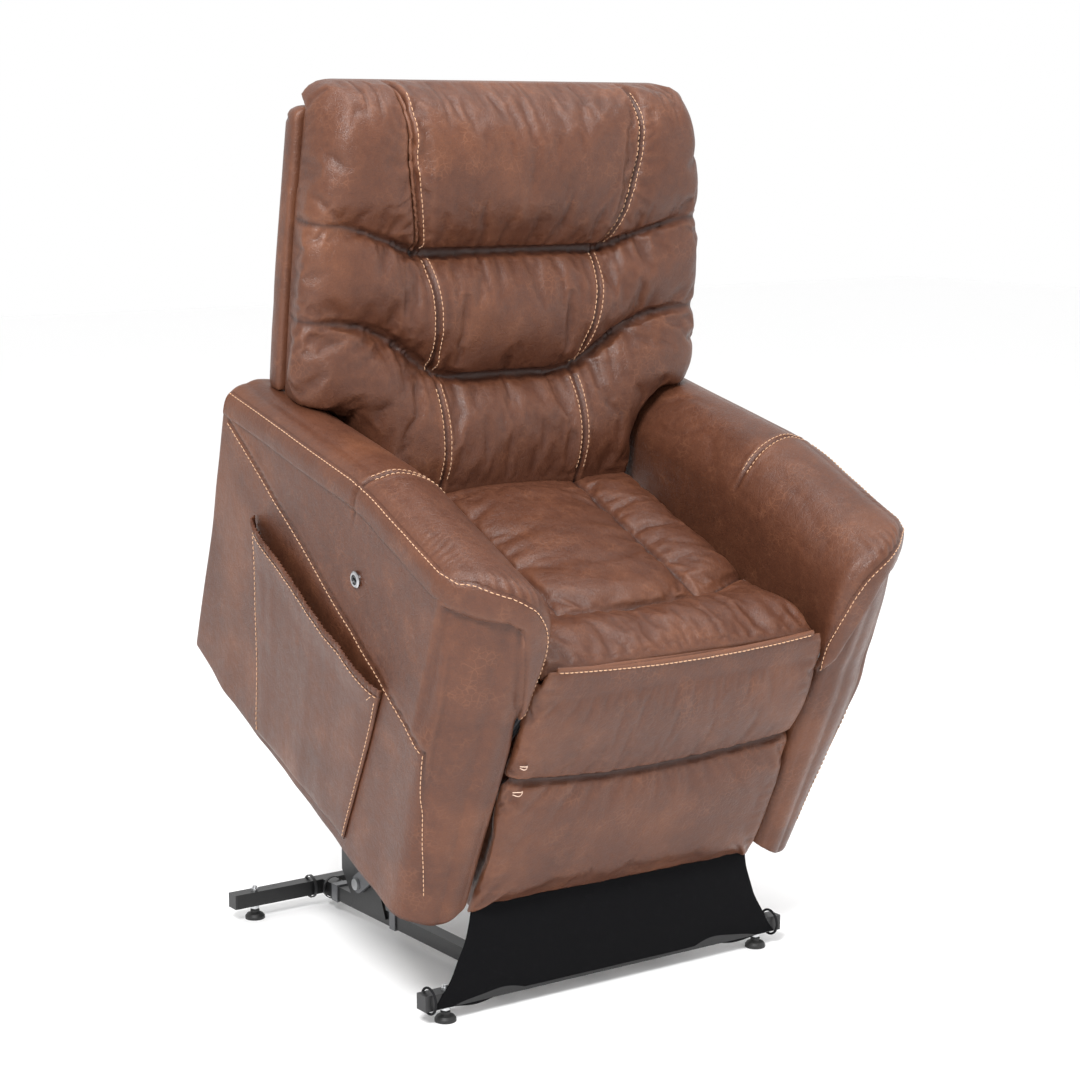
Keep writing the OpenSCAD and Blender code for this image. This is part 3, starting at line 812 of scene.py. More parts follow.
def back_detail(x, v, h):
    to_head, to_lumbar, head_seam, lumbar_seam, low_seam = back_seam_distances(x, v)
    ax = np.abs(x)
    front = smoothstep(h, BACK_FLOOR + 0.004, BACK_FLOOR + 0.022)
    middle = 1 - smoothstep(ax, 0.17, 0.30)
    bend = ridge(ax - 0.23, 0.09)
    rim = 1 - 0.75 * smoothstep(ax, 0.315, 0.365)
    eased = 1 - 0.6 * ridge(ax - 0.190, 0.045)
    offset = -(0.0045 + 0.006 * middle) * rim * (ridge(to_head, 0.0055) + eased * ridge(to_lumbar, 0.0065))
    offset -= 0.012 * ridge(head_seam + 0.002, 0.0055) * (x < 0) + 0.006 * ridge(head_seam, 0.006) * (x > 0)
    offset -= 0.0032 * (ridge(lumbar_seam, 0.004) + ridge(low_seam, 0.004))
    offset += 0.0016 * (ridge(np.abs(lumbar_seam) - 0.009, 0.005) + ridge(np.abs(low_seam) - 0.009, 0.005))
    # Folds run away from each crease and fade as they go.
    across = noise(x / 0.017, v / 0.10, seed=3) + 0.5 * noise(x / 0.008, v / 0.06, seed=4)
    valleys = creased(noise(x / 0.030, v / 0.13, seed=5))
    for distance in (to_head, to_lumbar):
        below = np.exp(-np.clip(-distance, 0, 1) / 0.045) * (distance < 0)
        above = np.exp(-np.clip(distance, 0, 1) / 0.020) * (distance >= 0)
        near = (below + 0.5 * above) * (middle + 0.9 * bend)
        offset += near * (0.0017 * across - 0.0036 * valleys)
    # Slanting folds where the creases turn up on to the wings.
    slant = (v - lumbar_crease(x)) * 0.9 + ax * 0.55
    turn = ridge(ax - 0.235, 0.055) * np.exp(-np.abs(to_lumbar) / 0.06) * (to_lumbar < 0)
    offset -= 0.0052 * turn * creased(noise(slant / 0.028, ax / 0.11, seed=8))
    gather = ridge(head_seam, 0.028) * (v > 0.53)
    offset += 0.0013 * gather * noise(v / 0.011, x / 0.05, seed=9)
    top_roll = smoothstep(v, 0.715, 0.770) * (ax < 0.33)
    offset -= 0.0022 * top_roll * creased(noise(x / 0.028, v / 0.09, seed=10))
    corner = ridge(ax - 0.30, 0.035) * smoothstep(v, 0.73, 0.765)
    offset -= 0.003 * corner * creased(noise(x / 0.016, v / 0.07, seed=12))
    offset += 0.0011 * noise(x / 0.05, v / 0.045, seed=13)
    # The second value is painted shade along the creases and the band seams, for the leather to darken.
    seam = ridge(to_head, 0.0028) + ridge(to_lumbar, 0.0028) + 0.8 * ridge(lumbar_seam, 0.002)
    seam += 0.8 * ridge(low_seam, 0.002) + 0.9 * ridge(head_seam + 0.001, 0.003)
    return offset * front, seam * front


def build_back(materials, threads):
    rows = np.linspace(BACK_FOOT, BACK_TOP, 170)
    block = grid_block(rows, back_half_width, back_front, back_rear, 130)
    cushion = pad_body("back_cushion", [block], 0.0065, 2)
    x, v, h = points_of(cushion).T
    near = np.min(np.abs(np.stack(back_seam_distances(x, v))[:3]), axis=0)
    held = np.where((near < 0.0045) | (h < BACK_FLOOR + 0.012) | (v < 0.155), 1.0, 0.0)
    inflate(cushion, held, 0.024)
    points = points_of(cushion)
    limit = back_half_width(points[:, 1]) + 0.0045
    points[:, 0] = np.clip(points[:, 0], -limit, limit)
    points[:, 2] = np.maximum(points[:, 2], np.where(points[:, 1] < 0.742, BACK_FLOOR - 0.0015, 0))
    set_points(cushion, points)
    flare_wings(cushion)
    subdivide(cushion)
    press_detail(cushion, back_detail)
    tree = tree_of(cushion)
    place = BACK @ FACE_FRONT
    thread = threads["back"]
    for side in (-1, 1):
        for gap in (-0.0072, 0.0072):
            line = along_curve(70, lambda t: (side * (lumbar_side(0.335 + 0.185 * t) + gap),
                                              0.335 + 0.185 * t, 0.14))
            thread.row(lay_on(tree, line, (0, 0, -1)), place)
            line = along_curve(60, lambda t: (side * (LOWER_SIDE + gap), 0.165 + 0.152 * t, 0.16))
            thread.row(lay_on(tree, line, (0, 0, -1)), place)
    for gap in (-0.006, 0.006):
        line = along_curve(110, lambda t: (head_side(0.535 + 0.246 * t) + gap, 0.535 + 0.246 * t, 0.13))
        thread.row(lay_on(tree, line, (0, 0, -1)), place)
    line = along_curve(110, lambda t: (-head_side(0.535 + 0.246 * t) + 0.012, 0.535 + 0.246 * t, 0.13))
    thread.row(lay_on(tree, line, (0, 0, -1)), place)
    place_mesh(cushion, place)
    finish_piece(cushion, "back", materials["upholstery"],
                 ("lower_back_pad", "lumbar_pad", "head_pad"))
    build_welt(materials, tree, place)


def build_welt(materials, tree, place):
    """The folded edge of leather that stands along the left side seam of the headrest."""
    line = along_curve(90, lambda t: (-head_side(0.53 + 0.252 * t) + 0.004, 0.53 + 0.252 * t, 0.13))
    hits = lay_on(tree, line, (0, 0, -1), lift=0.0)
    points = []
    outline = ((-0.0025, -0.004), (-0.0035, 0.003), (-0.001, 0.0062), (0.002, 0.0055),
               (0.0045, 0.002), (0.005, -0.004))
    for i, (spot, normal) in enumerate(hits):
        ahead = hits[min(i + 1, len(hits) - 1)][0] - hits[max(i - 1, 0)][0]
        side = ahead.normalized().cross(normal).normalized()
        for across, out in outline:
            points.append(spot + side * across + normal * out)
    welt = make_object("headrest_welt", points, sweep_faces(len(hits), len(outline)))
    subdivide(welt)
    mark_edges(welt)
    place_mesh(welt, place)
    finish_piece(welt, "back", materials["upholstery"])


SHELL_TOP = 0.750


def shell_half_width(v):
    corner = 0.022
    top = np.clip((v - (SHELL_TOP - corner)) / corner, 0, 1)
    return 0.381 - 0.006 * smoothstep(v, 0.42, 0.75) - corner * (1 - np.sqrt(1 - top ** 2))


def shell_rear(x, v):
    edge = quarter_round(shell_half_width(v) - np.abs(x), 0.020) * quarter_round(SHELL_TOP - v, 0.020)
    return 0.004 - 0.021 * edge


def build_shell(materials, threads):
    """The upholstered panel behind the back cushion, which shows beside it on the left."""
    rows = np.linspace(0.299, SHELL_TOP, 80)
    upper = grid_block(rows, shell_half_width, lambda x, v: 0.0298 + 0 * x, shell_rear)
    rows = np.linspace(0.150, 0.330, 30)
    lower = grid_block(rows, lambda v: 0.268 + 0 * v, lambda x, v: 0.0298 + 0 * x,
                       lambda x, v: 0.012 - 0.020 * quarter_round(0.268 - np.abs(x), 0.02))
    shell = pad_body("back_cover", [upper, lower], 0.0065, 2)
    subdivide(shell)

    def detail(x, v, h):
        rear = 1 - smoothstep(h, 0.0, 0.012)
        edge = np.abs(shell_half_width(v) - np.abs(x) - 0.018)
        offset = -0.0022 * ridge(edge, 0.004) * rear * (v > 0.32)
        offset -= 0.0022 * ridge(v - 0.728, 0.004) * rear
        offset += 0.0016 * noise(x / 0.09, v / 0.12, seed=21) * rear
        offset -= 0.0014 * rear * creased(noise(x / 0.05, v / 0.16, seed=22)) * ridge(v - 0.36, 0.09)
        # The second value is painted shade along the edge and top seams.
        return offset, 0.8 * ridge(edge, 0.0025) * rear * (v > 0.32) + 0.8 * ridge(v - 0.728, 0.0025) * rear

    press_detail(shell, detail)
    tree = tree_of(shell)
    place = BACK @ FACE_FRONT
    for side in (-1, 1):
        line = along_curve(90, lambda t: (side * (shell_half_width(0.33 + 0.39 * t) - 0.025),
                                          0.33 + 0.39 * t, 0))
        threads["back"].row(lay_on(tree, line, (0, 0, 1), reach=0.05), place)
    line = along_curve(90, lambda t: (0.28 * (2 * t - 1), 0.721, 0))
    threads["back"].row(lay_on(tree, line, (0, 0, 1), reach=0.05), place)
    place_mesh(shell, place)
    finish_piece(shell, "back", materials["upholstery"], ("back_shell",))


# ---------------------------------------------------------------- seat

SEAT_SIDE_SEAM = 0.135


def seat_cross_seam(x):
    return -0.262 + 0.063 * (x / SEAT_HALF) ** 2


def seat_height(x, y):
    along = bent_line(y, (-0.40, -0.375, -0.33, -0.26, -0.15, 0.13),
                      (0.494, 0.503, 0.503, 0.486, 0.480, 0.474), 0.02)
    cross = seat_cross_seam(x)
    panel = np.where(np.abs(x) < SEAT_SIDE_SEAM, x / SEAT_SIDE_SEAM,
                     (np.abs(x) - (SEAT_HALF + SEAT_SIDE_SEAM) / 2) / ((SEAT_HALF - SEAT_SIDE_SEAM) / 2))
    rear = 0.010 * (1 - np.clip(np.abs(panel), 0, 1) ** 2.5) * smoothstep(y, cross, cross + 0.05)
    front = 0.010 * np.sqrt(1 - np.clip(np.abs((y - (cross - 0.40) / 2) / ((cross + 0.40) / 2)), 0, 1) ** 2)
    sides = 0.020 * (1 - quarter_round(SEAT_HALF - np.abs(x), 0.040))
    return along + rear + np.where(y < cross, front, 0) - sides


def seat_floor(x, y):
    return np.where(y < -0.336, 0.480, 0.394) + 0 * x


def seat_detail(x, y, z):
    cross = y - seat_cross_seam(x)
    side = np.where(cross > 0, np.abs(x) - SEAT_SIDE_SEAM, 1)
    top = smoothstep(z, 0.440, 0.462)
    offset = -0.0065 * ridge(cross, 0.006) - 0.005 * ridge(side, 0.0055)
    ahead = (cross < 0) * (y > -0.385)
    offset -= 0.0034 * ahead * creased(noise(x / 0.050, y / 0.20, seed=31)) * smoothstep(y, -0.385, -0.34)
    offset += 0.0016 * ahead * noise(x / 0.020, y / 0.09, seed=32)
    behind = np.exp(-np.clip(cross, 0, 1) / 0.030) * (cross > 0)
    offset += behind * 0.0016 * noise(x / 0.015, y / 0.08, seed=33)
    pucker = ridge(side, 0.022)
    offset += 0.0010 * pucker * noise(x / 0.06, y / 0.012, seed=34)
    offset += 0.0015 * noise(x / 0.075, y / 0.06, seed=35)
    offset -= 0.0014 * creased(noise(x / 0.12 + y / 0.09, y / 0.13, seed=36))
    # Painted shade along the cross and side seams.
    seam = 0.9 * ridge(cross, 0.0026) + 0.9 * ridge(side, 0.0024)
    return offset * top, seam * top


def build_seat(materials, threads):
    rows = np.linspace(-0.401, 0.126, 90)
    block = grid_block(rows, lambda y: SEAT_HALF + 0 * y, seat_height, seat_floor)
    cushion = pad_body("seat_cushion_cover", [block], 0.0060, 2)
    x, y, z = points_of(cushion).T
    cross = y - seat_cross_seam(x)
    side = np.where(cross > 0, np.abs(x) - SEAT_SIDE_SEAM, 1)
    sewn = (np.abs(cross) < 0.004) | (np.abs(side) < 0.004)
    held = np.where(sewn | (z < 0.440) | (y < -0.392) | (y > 0.105), 1.0, 0.0)
    inflate(cushion, held, 0.014, pressure=3.0)
    points = points_of(cushion)
    points[:, 0] = np.clip(points[:, 0], -SEAT_CLEAR, SEAT_CLEAR)
    set_points(cushion, points)
    subdivide(cushion)
    press_detail(cushion, seat_detail, SEAT_CLEAR)
    place_mesh(cushion, CHAIR)
    finish_piece(cushion, "chair", materials["upholstery"], ("seat_cushion",))
    build_piping(materials, threads)


def piping_line(t):
    half = 0.246
    x = half * (2 * t - 1)
    rise = (x / half) ** 2
    return Vector((x, -0.4045 - 0.004 * (1 - rise), 0.492 + 0.010 * rise))


def build_piping(materials, threads):
    """A folded and top-stitched edge of leather along the front of the seat."""
    points = []
    count = 150
    outline = ((0.002, 0.0075), (-0.0035, 0.0065), (-0.0055, 0.001), (-0.005, -0.005),
               (-0.001, -0.0062), (0.004, -0.003), (0.004, 0.006))
    for i, spot in enumerate(along_curve(count, piping_line)):
        ripple = 0.0005 * float(noise([i / 4.0], [0.0], seed=41)[0])
        for out, up in outline:
            points.append(spot + Vector((0, out * 0.7 - ripple, up * 0.75 + ripple)))
    piping = make_object("seat_front_edge", points, sweep_faces(count, len(outline)))
    subdivide(piping)
    mark_edges(piping)
    tree = tree_of(piping)
    line = along_curve(count, piping_line)
    threads["chair"].row(lay_on(tree, line, (0, 1, 0.25), reach=0.03), CHAIR, length=0.0072, radius=0.0010)
    place_mesh(piping, CHAIR)
    finish_piece(piping, "chair", materials["upholstery"])


# ---------------------------------------------------------------- leg rest

def leg_crease(x):
    return 0.300 - 0.020 * (1 - (x / LEG_HALF) ** 2)


def leg_half_width(z):
    """The panel draws in a little where it runs up in front of the seat."""
    return LEG_HALF - 0.016 * smoothstep(z, 0.452, LEG_TOP)


def leg_front(x, z):
    crease = leg_crease(x)
    upper = np.clip((z - crease) / (LEG_TOP + 0.02 - crease), 0, 1)
    lower = np.clip((crease - z) / (crease - LEG_FOOT), 0, 1)
    bulge = np.where(z > crease, 0.015 * np.sqrt(np.clip(1 - np.abs(2 * upper - 1) ** 2.4, 0, 1)),
                     0.013 * np.sqrt(np.clip(1 - np.abs(2 * lower - 1) ** 2.6, 0, 1)))
    side = 0.62 + 0.38 * quarter_round(LEG_HALF - np.abs(x), 0.018)
    foot = 0.62 + 0.38 * quarter_round(z - LEG_FOOT, 0.014)
    return LEG_FLOOR + (0.399 + bulge - LEG_FLOOR) * np.minimum(side, foot)


def leg_floor(x, z):
    """Behind the stuffed part is the board; above it the panel is a thin lip in front of the seat."""
    return LEG_FLOOR + (0.4035 - LEG_FLOOR) * smoothstep(z, LEG_PAD_TOP - 0.006, LEG_PAD_TOP + 0.004) + 0 * x


def spread_lip(pad):
    """Widens the face of the pad past the hinge brackets that its core sits between."""
    points = points_of(pad)
    face = smoothstep(points[:, 2], 0.383, 0.392)
    points[:, 0] *= 1 + (LEG_LIP_HALF / LEG_HALF - 1) * face
    set_points(pad, points)


def leg_detail(x, z, h):
    to_crease = z - leg_crease(x)
    front = smoothstep(h, 0.372, 0.385)
    offset = -0.009 * ridge(to_crease, 0.0065)
    near = np.exp(-np.abs(to_crease) / 0.035)
    offset += 0.0009 * near * noise(x / 0.028, z / 0.08, seed=51)
    offset += 0.0022 * noise(x / 0.13, z / 0.09, seed=52)
    offset -= 0.0016 * ridge(np.abs(x) - 0.235, 0.03) * creased(noise(x / 0.06, z / 0.05, seed=53))
    offset += 0.0013 * ridge(np.abs(x) - 0.255, 0.015) * noise(z / 0.010, x / 0.05, seed=54)
    # The second value is painted shade along the crease.
    return offset * front, 1.0 * ridge(to_crease, 0.0035) * front


def build_legrest(materials, threads):
    rows = np.linspace(LEG_FOOT, LEG_TOP, 90)
    block = grid_block(rows, leg_half_width, leg_front, leg_floor)
    pad = pad_body("legrest_cushion", [block], 0.0050, 1)
    spread_lip(pad)
    x, z, h = points_of(pad).T
    sewn = np.abs(z - leg_crease(x)) < 0.004
    held = np.where(sewn | (h < 0.385) | (z > LEG_PAD_TOP - 0.02), 1.0, 0.0)
    inflate(pad, held, 0.009, pressure=3.0, slack=0.015)
    subdivide(pad)
    press_detail(pad, leg_detail, LEG_LIP_HALF + 0.0005)
    place = CHAIR @ FACE_FRONT
    place_mesh(pad, place)
    dress(pad, materials["upholstery"])
    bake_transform(pad)
    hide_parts("legrest_upper_pad", "legrest_lower_pad")


def build_thread_loops(material):
    """Two loose loops of thread at the left end of the leg rest's crease."""
    for name, centre, size in (("thread_loop_upper", (-0.266, -0.417, 0.340), 0.006),
                               ("thread_loop_lower", (-0.262, -0.416, 0.290), 0.008)):
        data = bpy.data.curves.new(name, "CURVE")
        data.dimensions = "3D"
        data.bevel_depth = 0.0007
        data.bevel_resolution = 2
        spline = data.splines.new("BEZIER")
        spots = ((-1.2, 0.25), (0.2, 0.45), (1.0, 0.0), (0.3, -0.5), (-1.1, -0.25))
        spline.bezier_points.add(len(spots) - 1)
        for point, (across, up) in zip(spline.bezier_points, spots):
            out = 0.004 * (1 - abs(across))
            point.co = CHAIR @ Vector((centre[0] + across * size, centre[1] - out, centre[2] + up * size))
            point.handle_left_type = point.handle_right_type = "AUTO"
        loop = bpy.data.objects.new(name, data)
        bpy.context.scene.collection.objects.link(loop)
        data.materials.append(material)
        mesh_from_curve(loop)
        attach(bpy.data.objects[name], "legrest")


def mesh_from_curve(obj):
    """Swaps a curve for a mesh of the same shape, with its ends closed."""
    obj.data.use_fill_caps = True
    mesh = bpy.data.meshes.new_from_object(obj.evaluated_get(bpy.context.evaluated_depsgraph_get()))
    name = obj.name
    bpy.data.objects.remove(obj)
    piece = bpy.data.objects.new(name, mesh)
    bpy.context.scene.collection.objects.link(piece)
    mesh.shade_smooth()


# ---------------------------------------------------------------- arms, drawn on the +X side

def arm_top(y):
    return bent_line(y, (ARM_BEND, ARM_REAR), (ARM_TOP, ARM_REAR_TOP), 0.04)


def outer_x(z):
    return ARM_FOOT_X + (z - ARM_FOOT_Z) * tan(ARM_LEAN)


WALL_ROWS = 44
DOME_ROWS = 22
EDGE_ROUND = 0.032
EDGE_DROP = 0.007
CROWN_X = 0.378
INNER_DROP = 0.093


def arm_section(y):
    """Points (x, z) from the outer foot over the pad to the inner foot, and their middle line."""
    top = float(arm_top(np.array([y]))[0])
    wall = np.linspace(ARM_FOOT_Z, top - INNER_DROP - 0.002, WALL_ROWS)
    edge_z = top - EDGE_DROP - EDGE_ROUND
    edge_x = outer_x(edge_z) - EDGE_ROUND
    rise = [(outer_x(z), z) for z in np.linspace(wall[-1], edge_z, 9)[1:]]
    turn = [(edge_x + EDGE_ROUND * cos(t), edge_z + EDGE_ROUND * sin(t))
            for t in np.linspace(0, pi / 2, 9)[1:]]
    crown = [(edge_x + (CROWN_X - edge_x) * t, top - EDGE_DROP * (1 - t) ** 2)
             for t in np.linspace(0, 1, DOME_ROWS - 15)[1:]]
    dome_half = CROWN_X - 0.275
    inner = [(CROWN_X - dome_half * cos(t), top - INNER_DROP * (1 - sin(t)))
             for t in np.linspace(pi / 2, 0, DOME_ROWS + 1)[1:]]
    down = wall[::-1]
    inner_wall = [(0.275 + 0.007 * smoothstep(wall[-1] - z, 0.0, 0.10), max(z, 0.072)) for z in down]
    section = [(outer_x(z), z) for z in wall] + rise + turn + crown + inner + inner_wall
    middle_z = np.r_[wall, np.linspace(wall[-1], top - 0.058, DOME_ROWS + 1)[1:]]
    middle_z = np.r_[middle_z, middle_z[::-1]]
    middle_x = (outer_x(middle_z) + ARM_IN) / 2
    return np.array(section), np.stack([middle_x, middle_z], 1)


def arm_rings():
    """Rings from the middle of the rear face, along the arm, to the middle of the front face."""
    front_round, rear_round, inset, rear_inset = 0.026, 0.013, 0.34, 0.20
    rings = []
    for share in np.linspace(1, rear_inset, 9)[:-1]:
        rings.append((ARM_REAR, share))
    for t in np.linspace(pi / 2, 0, 7)[:-1]:
        rings.append((ARM_REAR - rear_round * (1 - sin(t)), rear_inset * (1 - cos(t))))
    for y in np.linspace(ARM_REAR - rear_round, ARM_FRONT + front_round, 100):
        rings.append((y, 0.0))
    for t in np.linspace(0, pi / 2, 10)[1:]:
        rings.append((ARM_FRONT + front_round * (1 - sin(t)), inset * (1 - cos(t))))
    for share in np.linspace(inset, 1, 11)[1:]:
        rings.append((ARM_FRONT - 0.004 * sin(pi * (share - inset) / (1 - inset)), share))
    return rings


def arm_front_shift(x, z):
    """The front of the arm is cut back towards its outer corner, most of all at the pad."""
    depth = bent_line(z, (0.045, 0.350, 0.530, 0.620), (0.028, 0.023, 0.039, 0.068), 0.03)
    return depth * smoothstep(x, 0.325, outer_x(z) + 0.006) - 0.008 * smoothstep(z, 0.36, 0.46)


def arm_shell(name):
    points = []
    rings = arm_rings()
    for y, share in rings:
        section, middle = arm_section(y)
        ring = section + (middle - section) * share
        ring[:, 1] = np.maximum(ring[:, 1], ARM_FOOT_Z + 0.017 * smoothstep(y, 0.20, 0.345))
        shift = arm_front_shift(ring[:, 0], ring[:, 1]) * smoothstep(-y, 0.20, 0.405)
        points.append(np.stack([ring[:, 0], y + shift, ring[:, 1]], 1))
    size = len(points[0])
    index = np.arange(len(rings) * size).reshape(len(rings), size)
    quads = grid_faces(index)
    arm = make_object(name, np.concatenate(points), quads)
    mesh = bmesh.new()
    mesh.from_mesh(arm.data)
    bmesh.ops.remove_doubles(mesh, verts=mesh.verts, dist=1e-5)
    bmesh.ops.recalc_face_normals(mesh, faces=mesh.faces)
    sample = max(mesh.faces, key=lambda face: face.calc_center_median().x)
    if sample.normal.x < 0:
        bmesh.ops.reverse_faces(mesh, faces=mesh.faces)
    mesh.to_mesh(arm.data)
    mesh.free()
    return arm


# The seam that runs down the outer panel to a knee near the front, and on down to the foot.
PANEL_SEAM = ((0.325, 0.520), (-0.372, 0.362), (-0.398, 0.100))
# The pocket's corners on that panel, as (y, z).
POCKET = {"front_top": (-0.245, 0.383), "front_foot": (-0.206, 0.067),
          "rear_foot": (0.100, 0.055), "rear_top": (0.195, 0.418)}


def to_segment(y, z, a, b):
    """Signed distance from a straight seam, and 1 m beyond its ends."""
    dy, dz = b[0] - a[0], b[1] - a[1]
    run = (dy * dy + dz * dz) ** 0.5
    share = ((y - a[0]) * dy + (z - a[1]) * dz) / run ** 2
    away = ((y - a[0]) * dz - (z - a[1]) * dy) / run
    past = np.maximum(np.maximum(-share, share - 1), 0) * run
    return np.where(past > 0, 1.0, away)


def cross_seam_y(x):
    """The double seam over the pad bows forward on the inner side."""
    return ARM_BEND + 0.004 - 0.028 * np.clip((0.40 - x) / 0.12, 0, 1) ** 2


def arm_detail(seed, x, y, z):
    top = arm_top(y)
    on_side = smoothstep(x, outer_x(z) - 0.010, outer_x(z) - 0.004)
    face = ARM_FRONT + arm_front_shift(x, z)
    on_front = 1 - smoothstep(y, face + 0.004, face + 0.012)
    on_pad = smoothstep(z, top - 0.10, top - 0.05) * (1 - on_front)
    offset = 0.0022 * noise(y / 0.16, z / 0.12, x / 0.2, seed=seed) * (on_side + 0.5)
    offset += 0.006 * on_side * ridge(z - 0.34, 0.17) * smoothstep(-y, 0.10, 0.36)
    # This mask gathers painted shade along the panel and cross seams.
    seam = np.zeros(len(x))
    for start, end in zip(PANEL_SEAM[:-1], PANEL_SEAM[1:]):
        away = to_segment(y, z, start, end)
        offset -= 0.0026 * ridge(away, 0.0035) * on_side
        offset += 0.0010 * ridge(away - 0.009, 0.006) * on_side
        seam += 0.75 * ridge(away, 0.0022) * on_side
    cross = y - cross_seam_y(x)
    offset -= 0.0030 * ridge(cross, 0.0035) * on_pad
    offset += 0.0012 * ridge(np.abs(cross) - 0.008, 0.005) * on_pad
    seam += 0.7 * ridge(cross, 0.0022) * on_pad
    # Gathers on the pad, next to the band round its front.
    edge = ridge(top - z, 0.014) * smoothstep(x, 0.385, 0.415) * ridge(y + 0.285, 0.05)
    sway = 2 * noise(y / 0.03, x / 0.03, seed=seed + 1)
    offset += 0.0009 * edge * np.sin(2 * pi * (y + 0.4 * x) / 0.0135 + sway)
    nose = smoothstep(-y, 0.345, 0.385) * ridge(top - z - 0.004, 0.022) * smoothstep(x, 0.28, 0.32)
    offset += 0.0009 * nose * np.sin(2 * pi * x / 0.0145 + 2 * noise(x / 0.03, z / 0.03, seed=seed + 2))
    folds = creased(noise(x / 0.06, y / 0.08, z / 0.06, seed=seed + 3))
    offset -= 0.0016 * on_pad * folds * smoothstep(0.40 - x, 0, 0.1)
    # Long soft folds down the outer panel and the front of the arm.
    offset += 0.0014 * on_side * noise(y / 0.045, z / 0.30, seed=seed + 4)
    offset += 0.0016 * on_front * noise(x / 0.03, z / 0.16, seed=seed + 5)
    # The front panel lies back from the band that frames it.
    inner_edge = np.interp(z, (0.40, 0.458, 0.515, 0.561, 0.61), (0.270, 0.300, 0.318, 0.331, 0.342))
    panel = smoothstep(0.602 - z, 0, 0.006) * smoothstep(x - inner_edge, 0, 0.006) * (z < 0.603)
    offset -= 0.008 * panel * smoothstep(-y, 0.335, 0.350) * smoothstep(z, 0.36, 0.43)
    return offset, seam


# The band's two edges across the front of the arm, as (x, z), from the outer corner to the inner tip.
BAND_UPPER = ((0.430, 0.646), (0.412, 0.652), (0.385, 0.652), (0.355, 0.650), (0.325, 0.634), (0.301, 0.604),
              (0.288, 0.573), (0.2835, 0.530), (0.2835, 0.470), (0.286, 0.436), (0.290, 0.424))
BAND_LOWER = ((0.432, 0.600), (0.418, 0.596), (0.400, 0.593), (0.380, 0.598), (0.360, 0.602), (0.342, 0.594),
              (0.332, 0.561), (0.319, 0.515), (0.303, 0.464), (0.296, 0.436), (0.292, 0.424))


def band_stations():
    """Pairs of upper and lower points of the band, with the way to press each on to the arm."""
    stations = []
    for y in np.linspace(0.336, -0.322, 110):
        top = float(arm_top(np.array([y]))[0])
        stations.append(((0.50, y, top - 0.017), (0.50, y, top - 0.062), (-1, 0, 0)))
    knots = np.linspace(0, 1, len(BAND_UPPER))
    for t in np.linspace(0, 1, 64):
        share = np.array([t])
        a = [float(bent_line(share, knots, [p[i] for p in BAND_UPPER], 0.03)[0]) for i in (0, 1)]
        b = [float(bent_line(share, knots, [p[i] for p in BAND_LOWER], 0.03)[0]) for i in (0, 1)]
        turn = radians(68) * (1 - smoothstep(t, 0.0, 0.30))
        way = (-sin(turn), cos(turn), 0)
        front_a, front_b = (ARM_FRONT + float(arm_front_shift(np.array([q[0]]), np.array([q[1]]))[0])
                            for q in (a, b))
        stations.append(((a[0], front_a, a[1]), (b[0], front_b, b[1]), way))
    return stations


def band_on(arm_tree, seed):
    """A raised strip of leather between the band's two edges, closed underneath."""
    across = 11
    thick = 0.0042
    grid = []
    for upper, lower, way in band_stations():
        line = [Vector(upper).lerp(Vector(lower), k / (across - 1)) for k in range(across)]
        hits = lay_on(arm_tree, line, way, reach=0.10, lift=0.0)
        if len(hits) == across:
            grid.append(hits)
    points = []
    for i, hits in enumerate(grid):
        for k, (spot, normal) in enumerate(hits):
            share = abs(2 * k / (across - 1) - 1)
            lift = thick * (1 - share ** 6) ** 0.5
            lift += 0.0006 * float(noise([i / 5.0], [k / 3.0], seed=seed)[0]) * (share < 1)
            points.append(spot + normal * (lift if share < 1 else -0.001))
    for hits in grid:
        for spot, normal in hits:
            points.append(spot - normal * 0.0025)
    index = np.arange(len(grid) * across).reshape(len(grid), across)
    quads = grid_faces(index)[:, [0, 3, 2, 1]]
    rim = np.r_[index[:-1, 0], index[-1, :-1], index[:0:-1, -1], index[0, :0:-1]]
    under = len(grid) * across
    ahead = np.roll(rim, -1)
    sides = np.stack([rim, rim + under, ahead + under, ahead], 1)
    return points, np.r_[quads, quads[:, ::-1] + under, sides[:, ::-1]], grid


def edge_line(grid, share, lift):
    """A line along the band at a share of its width, for stitches."""
    last = len(grid[0]) - 1
    line = []
    for hits in grid:
        k = min(int(share * last), last - 1)
        part = share * last - k
        spot = hits[k][0].lerp(hits[k + 1][0], part)
        normal = hits[k][1].lerp(hits[k + 1][1], part).normalized()
        line.append((spot + normal * lift, normal))
    return line


